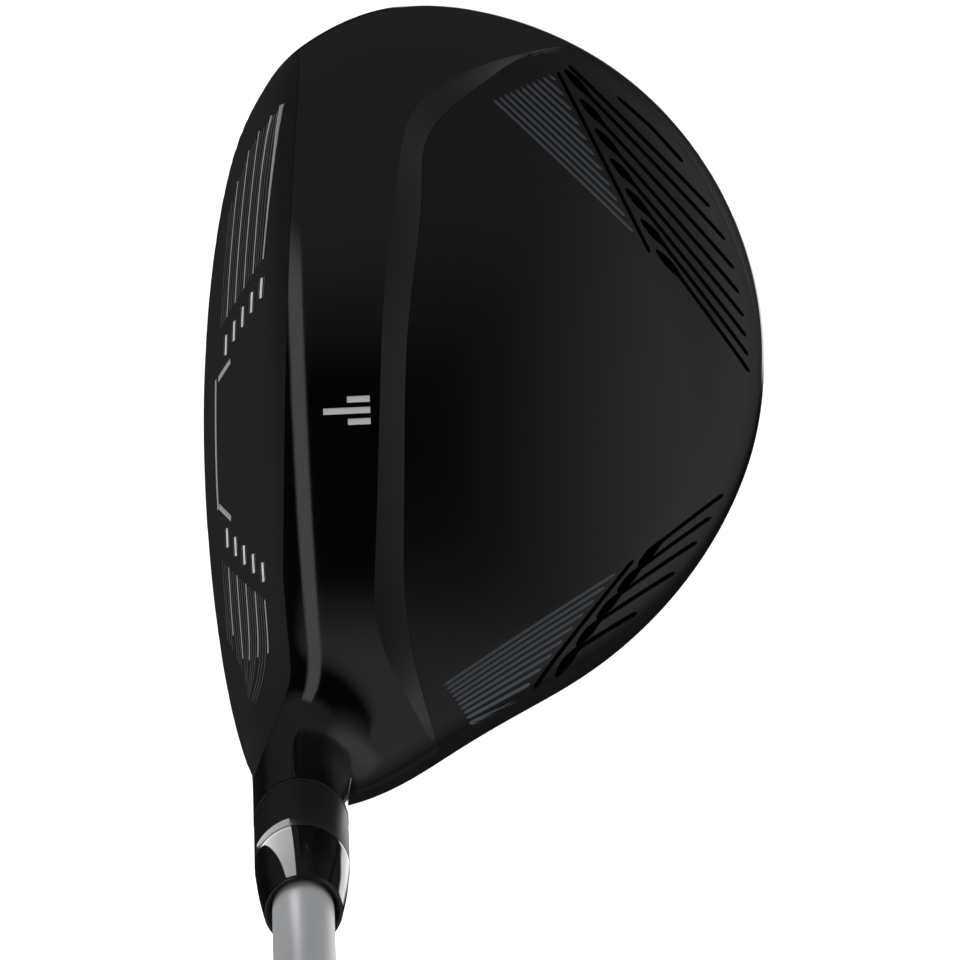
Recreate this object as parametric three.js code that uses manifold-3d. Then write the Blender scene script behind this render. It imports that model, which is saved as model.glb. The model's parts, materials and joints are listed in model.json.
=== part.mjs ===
// Fairway wood: adjustable hollow head, indexed shaft sleeve, tapered shaft and rubber grip.
// Millimetres. +Z up, +X towards the back of the head (the face looks along -X), +Y towards the toe.
// The origin is the centre of the flat pad on the sole, with the club standing at address.
import * as THREE from 'three';
import { mergeVertices } from 'three/addons/utils/BufferGeometryUtils.js';
import Module from 'manifold-3d';

const wasm = await Module();
wasm.setup();

// ---------- driving dimensions ----------
// head, seen from above
const HEAD_LENGTH = 114.4; // heel to toe
const HEAD_BREADTH = 90.4; // front to back, before the face is cut
const HEEL_Y = -50; // heel end of the outline
const REAR_X = 58.4; // back end of the outline
const POLE = [12, 5]; // middle of the head, where the crown and sole rings close
// outline as [share of breadth from the front, share of length from the heel], back edge first
const OUTLINE = [
  [0.425, 1.0], [0.6, 0.99], [0.79, 0.915], [0.928, 0.787], [1.0, 0.6], [0.973, 0.423], [0.857, 0.262],
  [0.677, 0.145], [0.476, 0.059], [0.265, 0.0], [0.133, 0.062], [0.055, 0.262], [0.0, 0.481],
  [0.033, 0.69], [0.157, 0.847], [0.287, 0.949],
];
// head, seen from the side
const CROWN_HEIGHT = 39;
const CROWN_REAR_DROP = 17.2; // from the top of the crown to the back edge
const CROWN_TOE_DROP = 16.8;
const CROWN_HEEL_DROP = 5.3;
const CROWN_FRONT_DROP = 2.5;
const SKIRT_HEIGHT = 16; // widest line of the head, at the origin
const SKIRT_SLOPE = 0.05; // the widest line climbs towards the back
const SOLE_PAD_SINK = 0.25; // how much the curved sole is planed off to make the flat pad
const SOLE_REAR_RISE = 10.8;
const SOLE_SIDE_RISE = 12.2;
const CROWN_FULLNESS = 5; // power of the curve that rolls the crown into the skirt
const SOLE_FULLNESS = 3.4;
const ROLL_END_ANGLE = 72; // degrees of the roll that get the closer rings
// face
const LOFT = 17;
const FACE_ANGLE = 1.0;
const LEADING_EDGE_X = -22.1;
const LEADING_EDGE_Z = 3;
const FACE_BULGE = 280; // radius heel to toe
const FACE_ROLL = 300; // radius top to bottom
const FACE_THICKNESS = 2.0;
// shell
const SHELL_WALL = 1.4;
const LEDGE_WALL = 1.2; // wall that carries the crown panel
const LEDGE_WIDTH = 5;
const OPENING_INSET = 7; // from the outline of the head to the opening under the panel
const PANEL_THICKNESS = 0.9;
const PANEL_STEP = 1.0; // the crown panel lies this much below the front strip
const PANEL_RIM = 0.6; // the panel stops this far above the widest line
const PANEL_EDGE_STEPS = 26;
const PANEL_EDGE = [
  [36, 64], [22, 52.8], [13.4, 45.2], [10.6, 35.5], [8.2, 17.8], [6.0, -12], [6.1, -28], [8.6, -43],
  [15, -60],
];
const GLUE_GAP = 0.3; // bond line between bonded pieces of the head
// shaft axis
const LIE = 57.5;
const AXIS_X = -10; // where the shaft axis meets the ground
const AXIS_Y = -26;
const NECK_TOP = 56.1; // all heights on the shaft axis are measured from the ground along the axis
const CLUB_LENGTH = 1092.2;
// shaft
const TIP_DIAMETER = 8.5;
const BUTT_DIAMETER = 15.24;
const SHAFT_BOTTOM = 36.3;
const TIP_PARALLEL = 75;
const SHAFT_TIP_WALL = 1.35;
const SHAFT_BUTT_WALL = 1.1;
const TIP_PLUG_LENGTH = 15;
const TIP_PLUG_INSET = 1;
const SHAFT_INSET = 1; // the shaft stops this far short of the grip's end
// shaft sleeve and hosel
const BOND_GAP = 0.15;
const RUN_CLEARANCE = 0.1;
const SLEEVE_WALL = 0.75;
const SPLINE_COUNT = 12;
const SPLINE_HEIGHT = 0.45;
const SPLINE_HALF_ANGLE = 6.5; // degrees, half a tooth
const SPLINE_SIDE_CLEARANCE = 1.0; // degrees
const SPLINE_FROM = 44;
const SPLINE_TO = 54;
const HOSEL_WALL = 0.9;
const TUBE_MARGIN = 0.4; // extra wall where the hosel tube runs through the head
const SPLINE_RUNOUT = 0.5; // the hosel's splines start this far below the sleeve's
const TOOTH_ROOT = 0.5; // how far a tooth reaches into the metal that carries it
const SLEEVE_BOTTOM = 24.3;
const SLEEVE_CHAMFER = 0.4;
const SLEEVE_WEB = 1.9; // solid metal between the thread and the shaft's tip
const WASHER_THICKNESS = 0.6;
const COLLAR_LENGTH = 14.5;
const COLLAR_STEP = 0.05; // the collar is this much smaller in radius than the hosel
const FERRULE_LENGTH = 14.45;
const FERRULE_END_RADIUS = 5.5;
const FERRULE_SHOULDER = 4.5; // length of the nearly straight part at each end
const FERRULE_SWELL = 0.1;
const FERRULE_BEVEL_LENGTH = 1;
const FERRULE_BEVEL = 0.3;
const FERRULE_MOUTH_DEPTH = 0.9;
const FERRULE_MOUTH = 0.5;
// hosel screw
const SCREW_DIAMETER = 4.9;
const SCREW_HEAD_DIAMETER = 8;
const SCREW_HEAD_BOTTOM = 6.5;
const SCREW_HEAD_HEIGHT = 4.5;
const SCREW_TIP = 33;
const SCREW_HEAD_CHAMFER = 0.4;
const SCREW_TIP_CHAMFER = 0.7;
const SCREW_GROOVE_DEPTH = 0.5;
const SCREW_GROOVE_PLAY = 0.3;
const SCREW_HOLE_CLEARANCE = 0.35;
const SCREW_POCKET_CLEARANCE = 0.6;
const SCREW_WASHER_THICKNESS = 0.9;
const SCREW_WASHER_CLEARANCE = 0.25;
const SCREW_SEAT = 12.5; // underside of the wall that the screw pulls against
const SCREW_SEAT_WALL = 3;
const RETAINER_THICKNESS = 1;
const RETAINER_DIAMETER = 7.6;
const RETAINER_BITE = 0.2; // the retainer's bore is this much smaller in radius than the shank
const THREAD_CLEARANCE = 0.15;
const THREAD_RUNOUT = 1;
// sole weight
const WEIGHT_DIAMETER = 17.2;
const WEIGHT_THICKNESS = 4;
const WEIGHT_CHAMFER = 0.5;
const WEIGHT_FROM_REAR = 20.4; // from the back edge to the middle of the weight
const WEIGHT_Y = 4;
const WEIGHT_RECESS = 0.6;
const WEIGHT_STEM_DIAMETER = 11;
const WEIGHT_STEM_LENGTH = 5;
const WEIGHT_CORE_DIAMETER = 8.4;
const WEIGHT_CORE_LENGTH = 3.1;
const WEIGHT_BOSS_WALL = 2.6;
const WEIGHT_BOSS_COVER = 2; // metal of the boss past the end of the stem
const SOCKET_DIAMETER = 5.2;
const SOCKET_DEPTH = 2.6;
const SOCKET_LOBES = 6;
const SOCKET_LOBE_SHARE = 0.12; // height of a lobe as a share of the radius
// sole badge
const BADGE_THICKNESS = 0.8;
const BADGE_LENGTH = 44; // heel to toe
const BADGE_BREADTH = 11;
const BADGE_FRONT_SHARE = 0.72; // length of the front edge as a share of the rear edge
const BADGE_POINT_SHARE = 1 / 6; // how far the front comes to a point, as a share of the breadth
const BADGE_BACKING_MARGIN = 2;
const BADGE_TO_WEIGHT = 3.2; // metal between the badge and the weight's pocket
// grip
const GRIP_LENGTH = 268;
const GRIP_MOUTH_WALL = 1.9;
const GRIP_BUTT_WALL = 5.0;
const GRIP_TAPER_POWER = 1.3;
const GRIP_STEPS = 8;
const LIP_RISE = 0.4;
const LIP_FROM = 1; // the lip's full height starts this far from the mouth
const LIP_TO = 4;
const LIP_END = 5;
const MOUTH_BEVEL = 0.3;
const TAPE_FROM_MOUTH = 6;
const TAPE_THICKNESS = 0.4;
const TAPE_GAP = 0.15;
const CAP_THICKNESS = 3.8;
const CAP_BEVEL = 1.8;
const CAP_BEVEL_LENGTH = 2;
const VENT_DIAMETER = 3;

// ---------- helpers ----------
const ROUND_SIDES = 24;
const WELD_DISTANCE = 1e-4;
const OVERRUN = 5; // how far a cut runs past the metal
const UP = new THREE.Vector3(0, 0, 1);
const degrees = THREE.MathUtils.degToRad;

function signedVolume(position, index) {
  const a = new THREE.Vector3();
  const b = new THREE.Vector3();
  const c = new THREE.Vector3();
  let total = 0;
  for (let i = 0; i < index.length; i += 3) {
    a.fromBufferAttribute(position, index[i]);
    b.fromBufferAttribute(position, index[i + 1]);
    c.fromBufferAttribute(position, index[i + 2]);
    total += a.dot(b.cross(c)) / 6;
  }
  return total;
}

// a closed geometry becomes a solid, with its shared vertices merged and its faces pointing out
function toSolid(geometry) {
  const bare = geometry.clone();
  bare.deleteAttribute('normal');
  bare.deleteAttribute('uv');
  const merged = mergeVertices(bare, WELD_DISTANCE);
  const index = [];
  for (let i = 0; i < merged.index.count; i += 3) {
    const [a, b, c] = [merged.index.getX(i), merged.index.getX(i + 1), merged.index.getX(i + 2)];
    if (a !== b && b !== c && c !== a) index.push(a, b, c);
  }
  if (signedVolume(merged.attributes.position, index) < 0) index.reverse();
  return new wasm.Manifold(new wasm.Mesh({
    numProp: 3,
    vertProperties: new Float32Array(merged.attributes.position.array),
    triVerts: new Uint32Array(index),
  }));
}

function toGeometry(solid) {
  const mesh = solid.getMesh();
  const geometry = new THREE.BufferGeometry();
  geometry.setAttribute('position', new THREE.BufferAttribute(mesh.vertProperties, 3));
  geometry.setIndex(new THREE.BufferAttribute(mesh.triVerts, 1));
  geometry.computeVertexNormals();
  return geometry;
}

// a solid of revolution about +Z, from [radius, height] points
function turned(profile, sides = ROUND_SIDES) {
  const points = profile.map(([radius, height]) => new THREE.Vector2(radius, height));
  return toSolid(new THREE.LatheGeometry(points, sides).rotateX(Math.PI / 2));
}

function rod(radius, from, to) {
  return turned([[0, from], [radius, from], [radius, to], [0, to]]);
}

// a tube about +Z whose bore and outside are [radius, height] lists that rise together
function pipe(outside, bore) {
  const profile = [...outside, ...[...bore].reverse()];
  return turned([...profile, profile[0]]);
}

function prism(points, from, to) {
  const shape = new THREE.Shape(points.map(([x, y]) => new THREE.Vector2(x, y)));
  const geometry = new THREE.ExtrudeGeometry(shape, { depth: to - from, bevelEnabled: false });
  return toSolid(geometry.translate(0, 0, from));
}

function moved(solid, matrix) {
  return toSolid(toGeometry(solid).applyMatrix4(matrix));
}

function smoothLine(points, divisions) {
  const curve = new THREE.SplineCurve(points.map(([x, y]) => new THREE.Vector2(x, y)));
  return curve.getSpacedPoints(divisions).map((p) => [p.x, p.y]);
}

// a line of points moved sideways, to its left for a positive distance
function besides(line, distance) {
  return line.map(([x, y], i) => {
    const before = line[Math.max(i - 1, 0)];
    const after = line[Math.min(i + 1, line.length - 1)];
    const dx = after[0] - before[0];
    const dy = after[1] - before[1];
    const length = Math.hypot(dx, dy);
    return [x - (dy / length) * distance, y + (dx / length) * distance];
  });
}

// ---------- the head's outer form ----------
const AROUND = 44;
const ROLL_RINGS = 6;
const TOP_RINGS = 3;
const FRONT_X = REAR_X - HEAD_BREADTH;
const TOE_Y = HEEL_Y + HEAD_LENGTH;

function crownZ(x, y) {
  const back = Math.max(x, 0) / REAR_X;
  const front = Math.min(x, 0) / FRONT_X;
  const toe = Math.max(y, 0) / TOE_Y;
  const heel = Math.min(y, 0) / HEEL_Y;
  return CROWN_HEIGHT - CROWN_REAR_DROP * back ** 2 - CROWN_FRONT_DROP * front ** 2
    - CROWN_TOE_DROP * toe ** 2 - CROWN_HEEL_DROP * heel ** 2;
}

function soleZ(x, y) {
  return SOLE_REAR_RISE * (x / REAR_X) ** 2 + SOLE_SIDE_RISE * (y / TOE_Y) ** 2 - SOLE_PAD_SINK;
}

function skirtZ(x) {
  return SKIRT_HEIGHT + SKIRT_SLOPE * x;
}

const outlineCurve = new THREE.CatmullRomCurve3(
  OUTLINE.map(([u, v]) => new THREE.Vector3(FRONT_X + u * HEAD_BREADTH, HEEL_Y + v * HEAD_LENGTH, 0)),
  true,
);

// the outline, moved inwards: it runs clockwise, so its inner side is on the right
function outline(inset) {
  const points = [];
  for (let i = 0; i < AROUND; i += 1) {
    const point = outlineCurve.getPointAt(i / AROUND);
    const along = outlineCurve.getTangentAt(i / AROUND);
    points.push([point.x + along.y * inset, point.y - along.x * inset]);
  }
  return points;
}

// shares of radius and of height for the rings from the widest line to the pole
function rings(fullness) {
  const list = [];
  for (let i = 0; i <= ROLL_RINGS; i += 1) {
    const angle = degrees((ROLL_END_ANGLE * i) / ROLL_RINGS);
    list.push([Math.cos(angle) ** (2 / fullness), Math.sin(angle) ** (2 / fullness)]);
  }
  const [inner] = list[ROLL_RINGS];
  for (let i = 1; i <= TOP_RINGS; i += 1) {
    const radius = inner * (1 - i / TOP_RINGS);
    list.push([radius, (1 - radius ** fullness) ** (1 / fullness)]);
  }
  return list;
}

// the closed form of the head, before the face is cut, shrunk by inset and with its crown lowered
function form(inset = 0, lowered = 0) {
  const rim = outline(inset);
  const position = [];
  const index = [];
  const addRing = (radius, heightAt) => {
    const start = position.length / 3;
    rim.forEach(([px, py]) => {
      const x = POLE[0] + (px - POLE[0]) * radius;
      const y = POLE[1] + (py - POLE[1]) * radius;
      position.push(x, y, heightAt(x, y));
    });
    return start;
  };
  const cover = (fullness, surface, flip) => {
    let previous = 0;
    rings(fullness).slice(1).forEach(([radius, share]) => {
      const heightAt = (x, y) => skirtZ(x) + (surface(x, y) - skirtZ(x)) * share;
      const start = radius > 0 ? addRing(radius, heightAt) : position.length / 3;
      if (radius === 0) position.push(...POLE, surface(...POLE));
      for (let i = 0; i < AROUND; i += 1) {
        const j = (i + 1) % AROUND;
        const quad = radius > 0
          ? [previous + i, previous + j, start + j, previous + i, start + j, start + i]
          : [previous + i, previous + j, start];
        index.push(...(flip ? quad.reverse() : quad));
      }
      previous = start;
    });
  };
  addRing(1, (x) => skirtZ(x));
  cover(CROWN_FULLNESS, (x, y) => crownZ(x, y) - inset - lowered, false);
  cover(SOLE_FULLNESS, (x, y) => soleZ(x, y) + inset, true);
  const geometry = new THREE.BufferGeometry();
  geometry.setAttribute('position', new THREE.Float32BufferAttribute(position, 3));
  geometry.setIndex(index);
  return toSolid(geometry);
}

// depth of the lofted face, bulged heel to toe and rolled top to bottom
const FACE_MIDDLE = CROWN_HEIGHT / 2;
const FACE_ROWS = 8;
const FACE_COLUMNS = 16;
const FACE_WIDTH_SHARE = 1.4; // the cutting surface is this much longer than the head
const FACE_HEIGHT_SHARE = 1.5;
const FACE_BELOW = CROWN_HEIGHT / 4;
const FAR = 100;

function faceX(y, z, behind) {
  const rise = z - LEADING_EDGE_Z;
  const roll = ((z - FACE_MIDDLE) ** 2 - (LEADING_EDGE_Z - FACE_MIDDLE) ** 2) / (2 * FACE_ROLL);
  const slant = Math.tan(degrees(LOFT)) * rise + Math.tan(degrees(FACE_ANGLE)) * y;
  return LEADING_EDGE_X + slant + roll + y ** 2 / (2 * FACE_BULGE) + behind / Math.cos(degrees(LOFT));
}

// everything in front of a face surface that lies some way behind the striking face
function beforeFace(behind) {
  const position = [];
  const index = [];
  const corner = (side, row, column) => (side * (FACE_ROWS + 1) + row) * (FACE_COLUMNS + 1) + column;
  const quad = (a, b, c, d) => index.push(a, b, c, a, c, d);
  for (let side = 0; side < 2; side += 1) {
    for (let row = 0; row <= FACE_ROWS; row += 1) {
      for (let column = 0; column <= FACE_COLUMNS; column += 1) {
        const y = FACE_WIDTH_SHARE * (HEEL_Y + (HEAD_LENGTH * column) / FACE_COLUMNS);
        const z = (FACE_HEIGHT_SHARE * CROWN_HEIGHT * row) / FACE_ROWS - FACE_BELOW;
        position.push(side ? -FAR : faceX(y, z, behind), y, z);
      }
    }
  }
  for (let row = 0; row < FACE_ROWS; row += 1) {
    for (let column = 0; column < FACE_COLUMNS; column += 1) {
      const near = [[row, column], [row, column + 1], [row + 1, column + 1], [row + 1, column]];
      quad(...near.map(([r, c]) => corner(0, r, c)));
      quad(...near.map(([r, c]) => corner(1, r, c)).reverse());
    }
  }
  for (let column = 0; column < FACE_COLUMNS; column += 1) {
    quad(corner(0, 0, column), corner(1, 0, column), corner(1, 0, column + 1), corner(0, 0, column + 1));
    quad(corner(0, FACE_ROWS, column + 1), corner(1, FACE_ROWS, column + 1),
      corner(1, FACE_ROWS, column), corner(0, FACE_ROWS, column));
  }
  for (let row = 0; row < FACE_ROWS; row += 1) {
    quad(corner(0, row + 1, 0), corner(1, row + 1, 0), corner(1, row, 0), corner(0, row, 0));
    quad(corner(0, row, FACE_COLUMNS), corner(1, row, FACE_COLUMNS),
      corner(1, row + 1, FACE_COLUMNS), corner(0, row + 1, FACE_COLUMNS));
  }
  const geometry = new THREE.BufferGeometry();
  geometry.setAttribute('position', new THREE.Float32BufferAttribute(position, 3));
  geometry.setIndex(index);
  return toSolid(geometry);
}

// ---------- places on the shaft axis ----------
const shaftAxis = new THREE.Matrix4().makeRotationX(degrees(90 - LIE)).setPosition(AXIS_X, AXIS_Y, 0);
const TIP_RADIUS = TIP_DIAMETER / 2;
const SLEEVE_BORE = TIP_RADIUS + BOND_GAP;
const SLEEVE_RADIUS = SLEEVE_BORE + SLEEVE_WALL;
const SPLINE_RADIUS = SLEEVE_RADIUS + SPLINE_HEIGHT;
const HOSEL_BORE = SLEEVE_RADIUS + RUN_CLEARANCE;
const HOSEL_RADIUS = SPLINE_RADIUS + RUN_CLEARANCE + HOSEL_WALL;
const WASHER_FROM = NECK_TOP + BOND_GAP;
const COLLAR_FROM = WASHER_FROM + WASHER_THICKNESS + BOND_GAP;
const COLLAR_TO = COLLAR_FROM + COLLAR_LENGTH;
const FERRULE_FROM = COLLAR_TO + BOND_GAP;
const FERRULE_TO = FERRULE_FROM + FERRULE_LENGTH;
const COLLAR_RADIUS = HOSEL_RADIUS - COLLAR_STEP;
const SCREW_RADIUS = SCREW_DIAMETER / 2;
const SCREW_HEAD_TOP = SCREW_HEAD_BOTTOM + SCREW_HEAD_HEIGHT;
const RETAINER_FROM = SCREW_SEAT + SCREW_SEAT_WALL + GLUE_GAP;
const CAP_FROM = CLUB_LENGTH - CAP_THICKNESS;
const GRIP_TO = CAP_FROM - GLUE_GAP;
const GRIP_FROM = GRIP_TO - GRIP_LENGTH;
const SHAFT_TOP = GRIP_TO - SHAFT_INSET;

function shaftRadius(height) {
  const parallelEnd = SHAFT_BOTTOM + TIP_PARALLEL;
  const share = Math.max(height - parallelEnd, 0) / (SHAFT_TOP - parallelEnd);
  return TIP_RADIUS + (BUTT_DIAMETER / 2 - TIP_RADIUS) * share;
}

// outline of a splined section, with teeth centred on every twelfth of a turn
function splineSection(valley, peak, halfAngle) {
  const points = [];
  const pitch = 360 / SPLINE_COUNT;
  for (let i = 0; i < SPLINE_COUNT; i += 1) {
    const stops = [
      [-pitch / 2, valley], [-halfAngle, valley], [-halfAngle, peak], [halfAngle, peak], [halfAngle, valley],
    ];
    stops.forEach(([offset, radius]) => {
      const angle = degrees(i * pitch + offset);
      points.push([radius * Math.cos(angle), radius * Math.sin(angle)]);
    });
  }
  return points;
}

// a lobed driver socket
function socketSection(diameter) {
  const points = [];
  for (let i = 0; i < ROUND_SIDES; i += 1) {
    const angle = (2 * Math.PI * i) / ROUND_SIDES;
    const lobe = SOCKET_LOBE_SHARE * (Math.cos(SOCKET_LOBES * angle) - 1);
    const radius = (diameter / 2) * (1 + lobe);
    points.push([radius * Math.cos(angle), radius * Math.sin(angle)]);
  }
  return points;
}

// ---------- places on the sole ----------
const WEIGHT_X = REAR_X - WEIGHT_FROM_REAR;
const WEIGHT_RADIUS = WEIGHT_DIAMETER / 2;
const WEIGHT_TILT = Math.atan((2 * SOLE_REAR_RISE * WEIGHT_X) / REAR_X ** 2);
const weightOut = new THREE.Vector3(Math.sin(WEIGHT_TILT), 0, -Math.cos(WEIGHT_TILT));
const weightPlace = new THREE.Matrix4()
  .makeRotationFromQuaternion(new THREE.Quaternion().setFromUnitVectors(UP, weightOut))
  .setPosition(WEIGHT_X, WEIGHT_Y, soleZ(WEIGHT_X, WEIGHT_Y));
const STEM_RADIUS = WEIGHT_STEM_DIAMETER / 2;
const WEIGHT_FACE = -WEIGHT_RECESS;
const WEIGHT_BACK = WEIGHT_FACE - WEIGHT_THICKNESS;
const STEM_END = WEIGHT_BACK - WEIGHT_STEM_LENGTH;
const BADGE_REAR = WEIGHT_X - WEIGHT_RADIUS - BADGE_TO_WEIGHT;

function badgeOutline(grow) {
  const half = BADGE_LENGTH / 2 + grow;
  const front = BADGE_REAR - BADGE_BREADTH - grow;
  const rear = BADGE_REAR + grow;
  return [
    [front, WEIGHT_Y - half * BADGE_FRONT_SHARE], [rear, WEIGHT_Y - half], [rear, WEIGHT_Y + half],
    [front, WEIGHT_Y + half * BADGE_FRONT_SHARE], [front - BADGE_BREADTH * BADGE_POINT_SHARE, WEIGHT_Y],
  ];
}

// ---------- pieces of the head ----------
const panelLine = smoothLine(PANEL_EDGE, PANEL_EDGE_STEPS);
const BELOW = -CROWN_HEIGHT / 2;
const ABOVE = 1.5 * CROWN_HEIGHT;

// plan region behind the panel's front edge, grown towards the face by a distance
function behindStep(grow, from) {
  const line = besides(panelLine, -grow);
  const last = line[line.length - 1];
  return prism([...line, [FAR, last[1]], [FAR, line[0][1]]], from, ABOVE);
}

// everything above the widest line of the head
function aboveSkirt(lift) {
  const corners = [[-FAR, skirtZ(-FAR) + lift], [FAR, skirtZ(FAR) + lift], [FAR, ABOVE], [-FAR, ABOVE]];
  const shape = new THREE.Shape(corners.map(([x, z]) => new THREE.Vector2(x, z)));
  const slab = new THREE.ExtrudeGeometry(shape, { depth: 2 * FAR, bevelEnabled: false });
  return toSolid(slab.translate(0, 0, -FAR).rotateX(Math.PI / 2));
}

function belowGround() {
  return toSolid(new THREE.BoxGeometry(2 * FAR, 2 * FAR, 2 * FAR).translate(0, 0, -FAR));
}

function onShaftAxis(solid) {
  return moved(solid, shaftAxis);
}

const wholeHead = form().subtract(belowGround());
const neckClearance = onShaftAxis(rod(HOSEL_RADIUS + GLUE_GAP, SCREW_SEAT, NECK_TOP));

function facePlate() {
  return wholeHead.intersect(beforeFace(FACE_THICKNESS)).subtract(beforeFace(0)).subtract(neckClearance);
}

function crownPanel() {
  return form(0, PANEL_STEP).subtract(form(PANEL_THICKNESS, PANEL_STEP))
    .intersect(behindStep(0, BELOW)).intersect(aboveSkirt(PANEL_RIM + GLUE_GAP));
}

function soleBadge() {
  return wholeHead.subtract(form(BADGE_THICKNESS)).intersect(prism(badgeOutline(0), BELOW, SKIRT_HEIGHT));
}

function hoselBore() {
  const halfAngle = SPLINE_HALF_ANGLE + SPLINE_SIDE_CLEARANCE;
  const splines = splineSection(HOSEL_BORE - TOOTH_ROOT, SPLINE_RADIUS + RUN_CLEARANCE, halfAngle);
  const seatTop = SCREW_SEAT + SCREW_SEAT_WALL;
  const bore = rod(HOSEL_BORE, seatTop, NECK_TOP + OVERRUN)
    .add(prism(splines, SPLINE_FROM - SPLINE_RUNOUT, NECK_TOP + OVERRUN))
    .add(rod(SCREW_RADIUS + SCREW_HOLE_CLEARANCE, SCREW_SEAT - OVERRUN, seatTop + OVERRUN))
    .add(rod(SCREW_HEAD_DIAMETER / 2 + SCREW_POCKET_CLEARANCE, BELOW, SCREW_SEAT));
  return onShaftAxis(bore);
}

function weightBoss() {
  const radius = WEIGHT_RADIUS + GLUE_GAP + WEIGHT_BOSS_WALL;
  return moved(rod(radius, STEM_END - WEIGHT_BOSS_COVER, OVERRUN), weightPlace);
}

function weightPocket() {
  const pocket = rod(WEIGHT_RADIUS + GLUE_GAP, WEIGHT_BACK - GLUE_GAP, OVERRUN)
    .add(rod(STEM_RADIUS + GLUE_GAP, STEM_END - OVERRUN, WEIGHT_BACK));
  return moved(pocket, weightPlace);
}

// the wall that carries the crown panel, from under the panel inwards
function panelLedge() {
  const zone = behindStep(LEDGE_WALL, BELOW).intersect(aboveSkirt(-LEDGE_WIDTH));
  return zone.subtract(form(PANEL_THICKNESS + GLUE_GAP + LEDGE_WALL, PANEL_STEP));
}

// the hollow of the head, which leaves the ledge, the badge's backing, the boss and the hosel tube
function cavity() {
  const badgeBacking = prism(badgeOutline(BADGE_BACKING_MARGIN), BELOW, SKIRT_HEIGHT)
    .subtract(form(BADGE_THICKNESS + GLUE_GAP + SHELL_WALL));
  return form(SHELL_WALL)
    .subtract(panelLedge())
    .subtract(badgeBacking)
    .subtract(weightBoss())
    .subtract(onShaftAxis(rod(HOSEL_RADIUS + TUBE_MARGIN, -FAR, NECK_TOP)));
}

function headBody() {
  const panelSeat = behindStep(GLUE_GAP, BELOW).intersect(aboveSkirt(PANEL_RIM))
    .subtract(form(PANEL_THICKNESS + GLUE_GAP, PANEL_STEP));
  const opening = prism(outline(OPENING_INSET), SKIRT_HEIGHT, ABOVE)
    .intersect(behindStep(-LEDGE_WIDTH, BELOW));
  const badgeSeat = prism(badgeOutline(GLUE_GAP), BELOW, SKIRT_HEIGHT)
    .subtract(form(BADGE_THICKNESS + GLUE_GAP));
  return wholeHead.subtract(beforeFace(FACE_THICKNESS + GLUE_GAP))
    .subtract(cavity())
    .add(onShaftAxis(rod(HOSEL_RADIUS, SCREW_SEAT + SCREW_SEAT_WALL, NECK_TOP)))
    .subtract(panelSeat)
    .subtract(opening)
    .subtract(badgeSeat)
    .subtract(weightPocket())
    .subtract(hoselBore());
}

// ---------- pieces on the sole ----------
function soleWeight() {
  const disc = [[0, STEM_END], [STEM_RADIUS, STEM_END], [STEM_RADIUS, WEIGHT_BACK],
    [WEIGHT_RADIUS, WEIGHT_BACK], [WEIGHT_RADIUS, WEIGHT_FACE - WEIGHT_CHAMFER],
    [WEIGHT_RADIUS - WEIGHT_CHAMFER, WEIGHT_FACE], [0, WEIGHT_FACE]];
  const coreRadius = WEIGHT_CORE_DIAMETER / 2 + GLUE_GAP;
  return turned(disc)
    .subtract(prism(socketSection(SOCKET_DIAMETER), WEIGHT_FACE - SOCKET_DEPTH, OVERRUN))
    .subtract(rod(coreRadius, STEM_END - OVERRUN, STEM_END + WEIGHT_CORE_LENGTH + GLUE_GAP));
}

function weightCore() {
  return rod(WEIGHT_CORE_DIAMETER / 2, STEM_END, STEM_END + WEIGHT_CORE_LENGTH);
}

// ---------- pieces on the shaft axis ----------
function hoselScrew() {
  const groove = SCREW_RADIUS - SCREW_GROOVE_DEPTH;
  const grooveFrom = RETAINER_FROM - SCREW_GROOVE_PLAY;
  const grooveTo = RETAINER_FROM + RETAINER_THICKNESS + SCREW_GROOVE_PLAY;
  const headRadius = SCREW_HEAD_DIAMETER / 2;
  const profile = [[0, SCREW_HEAD_BOTTOM], [headRadius - SCREW_HEAD_CHAMFER, SCREW_HEAD_BOTTOM],
    [headRadius, SCREW_HEAD_BOTTOM + SCREW_HEAD_CHAMFER], [headRadius, SCREW_HEAD_TOP],
    [SCREW_RADIUS, SCREW_HEAD_TOP], [SCREW_RADIUS, grooveFrom], [groove, grooveFrom], [groove, grooveTo],
    [SCREW_RADIUS, grooveTo], [SCREW_RADIUS, SCREW_TIP - SCREW_TIP_CHAMFER],
    [SCREW_RADIUS - SCREW_TIP_CHAMFER, SCREW_TIP], [0, SCREW_TIP]];
  const socketTop = SCREW_HEAD_BOTTOM + SOCKET_DEPTH;
  return turned(profile).subtract(prism(socketSection(SOCKET_DIAMETER), BELOW, socketTop));
}

function screwWasher() {
  const from = SCREW_HEAD_TOP + GLUE_GAP;
  const outer = SCREW_HEAD_DIAMETER / 2;
  const inner = SCREW_RADIUS + SCREW_WASHER_CLEARANCE;
  const to = from + SCREW_WASHER_THICKNESS;
  return pipe([[outer, from], [outer, to]], [[inner, from], [inner, to]]);
}

function screwRetainer() {
  const to = RETAINER_FROM + RETAINER_THICKNESS;
  const outer = RETAINER_DIAMETER / 2;
  const inner = SCREW_RADIUS - RETAINER_BITE;
  return pipe([[outer, RETAINER_FROM], [outer, to]], [[inner, RETAINER_FROM], [inner, to]]);
}

function sleeveWasher() {
  const to = WASHER_FROM + WASHER_THICKNESS;
  const inner = SPLINE_RADIUS + RUN_CLEARANCE;
  return pipe([[HOSEL_RADIUS, WASHER_FROM], [HOSEL_RADIUS, to]], [[inner, WASHER_FROM], [inner, to]]);
}

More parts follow.
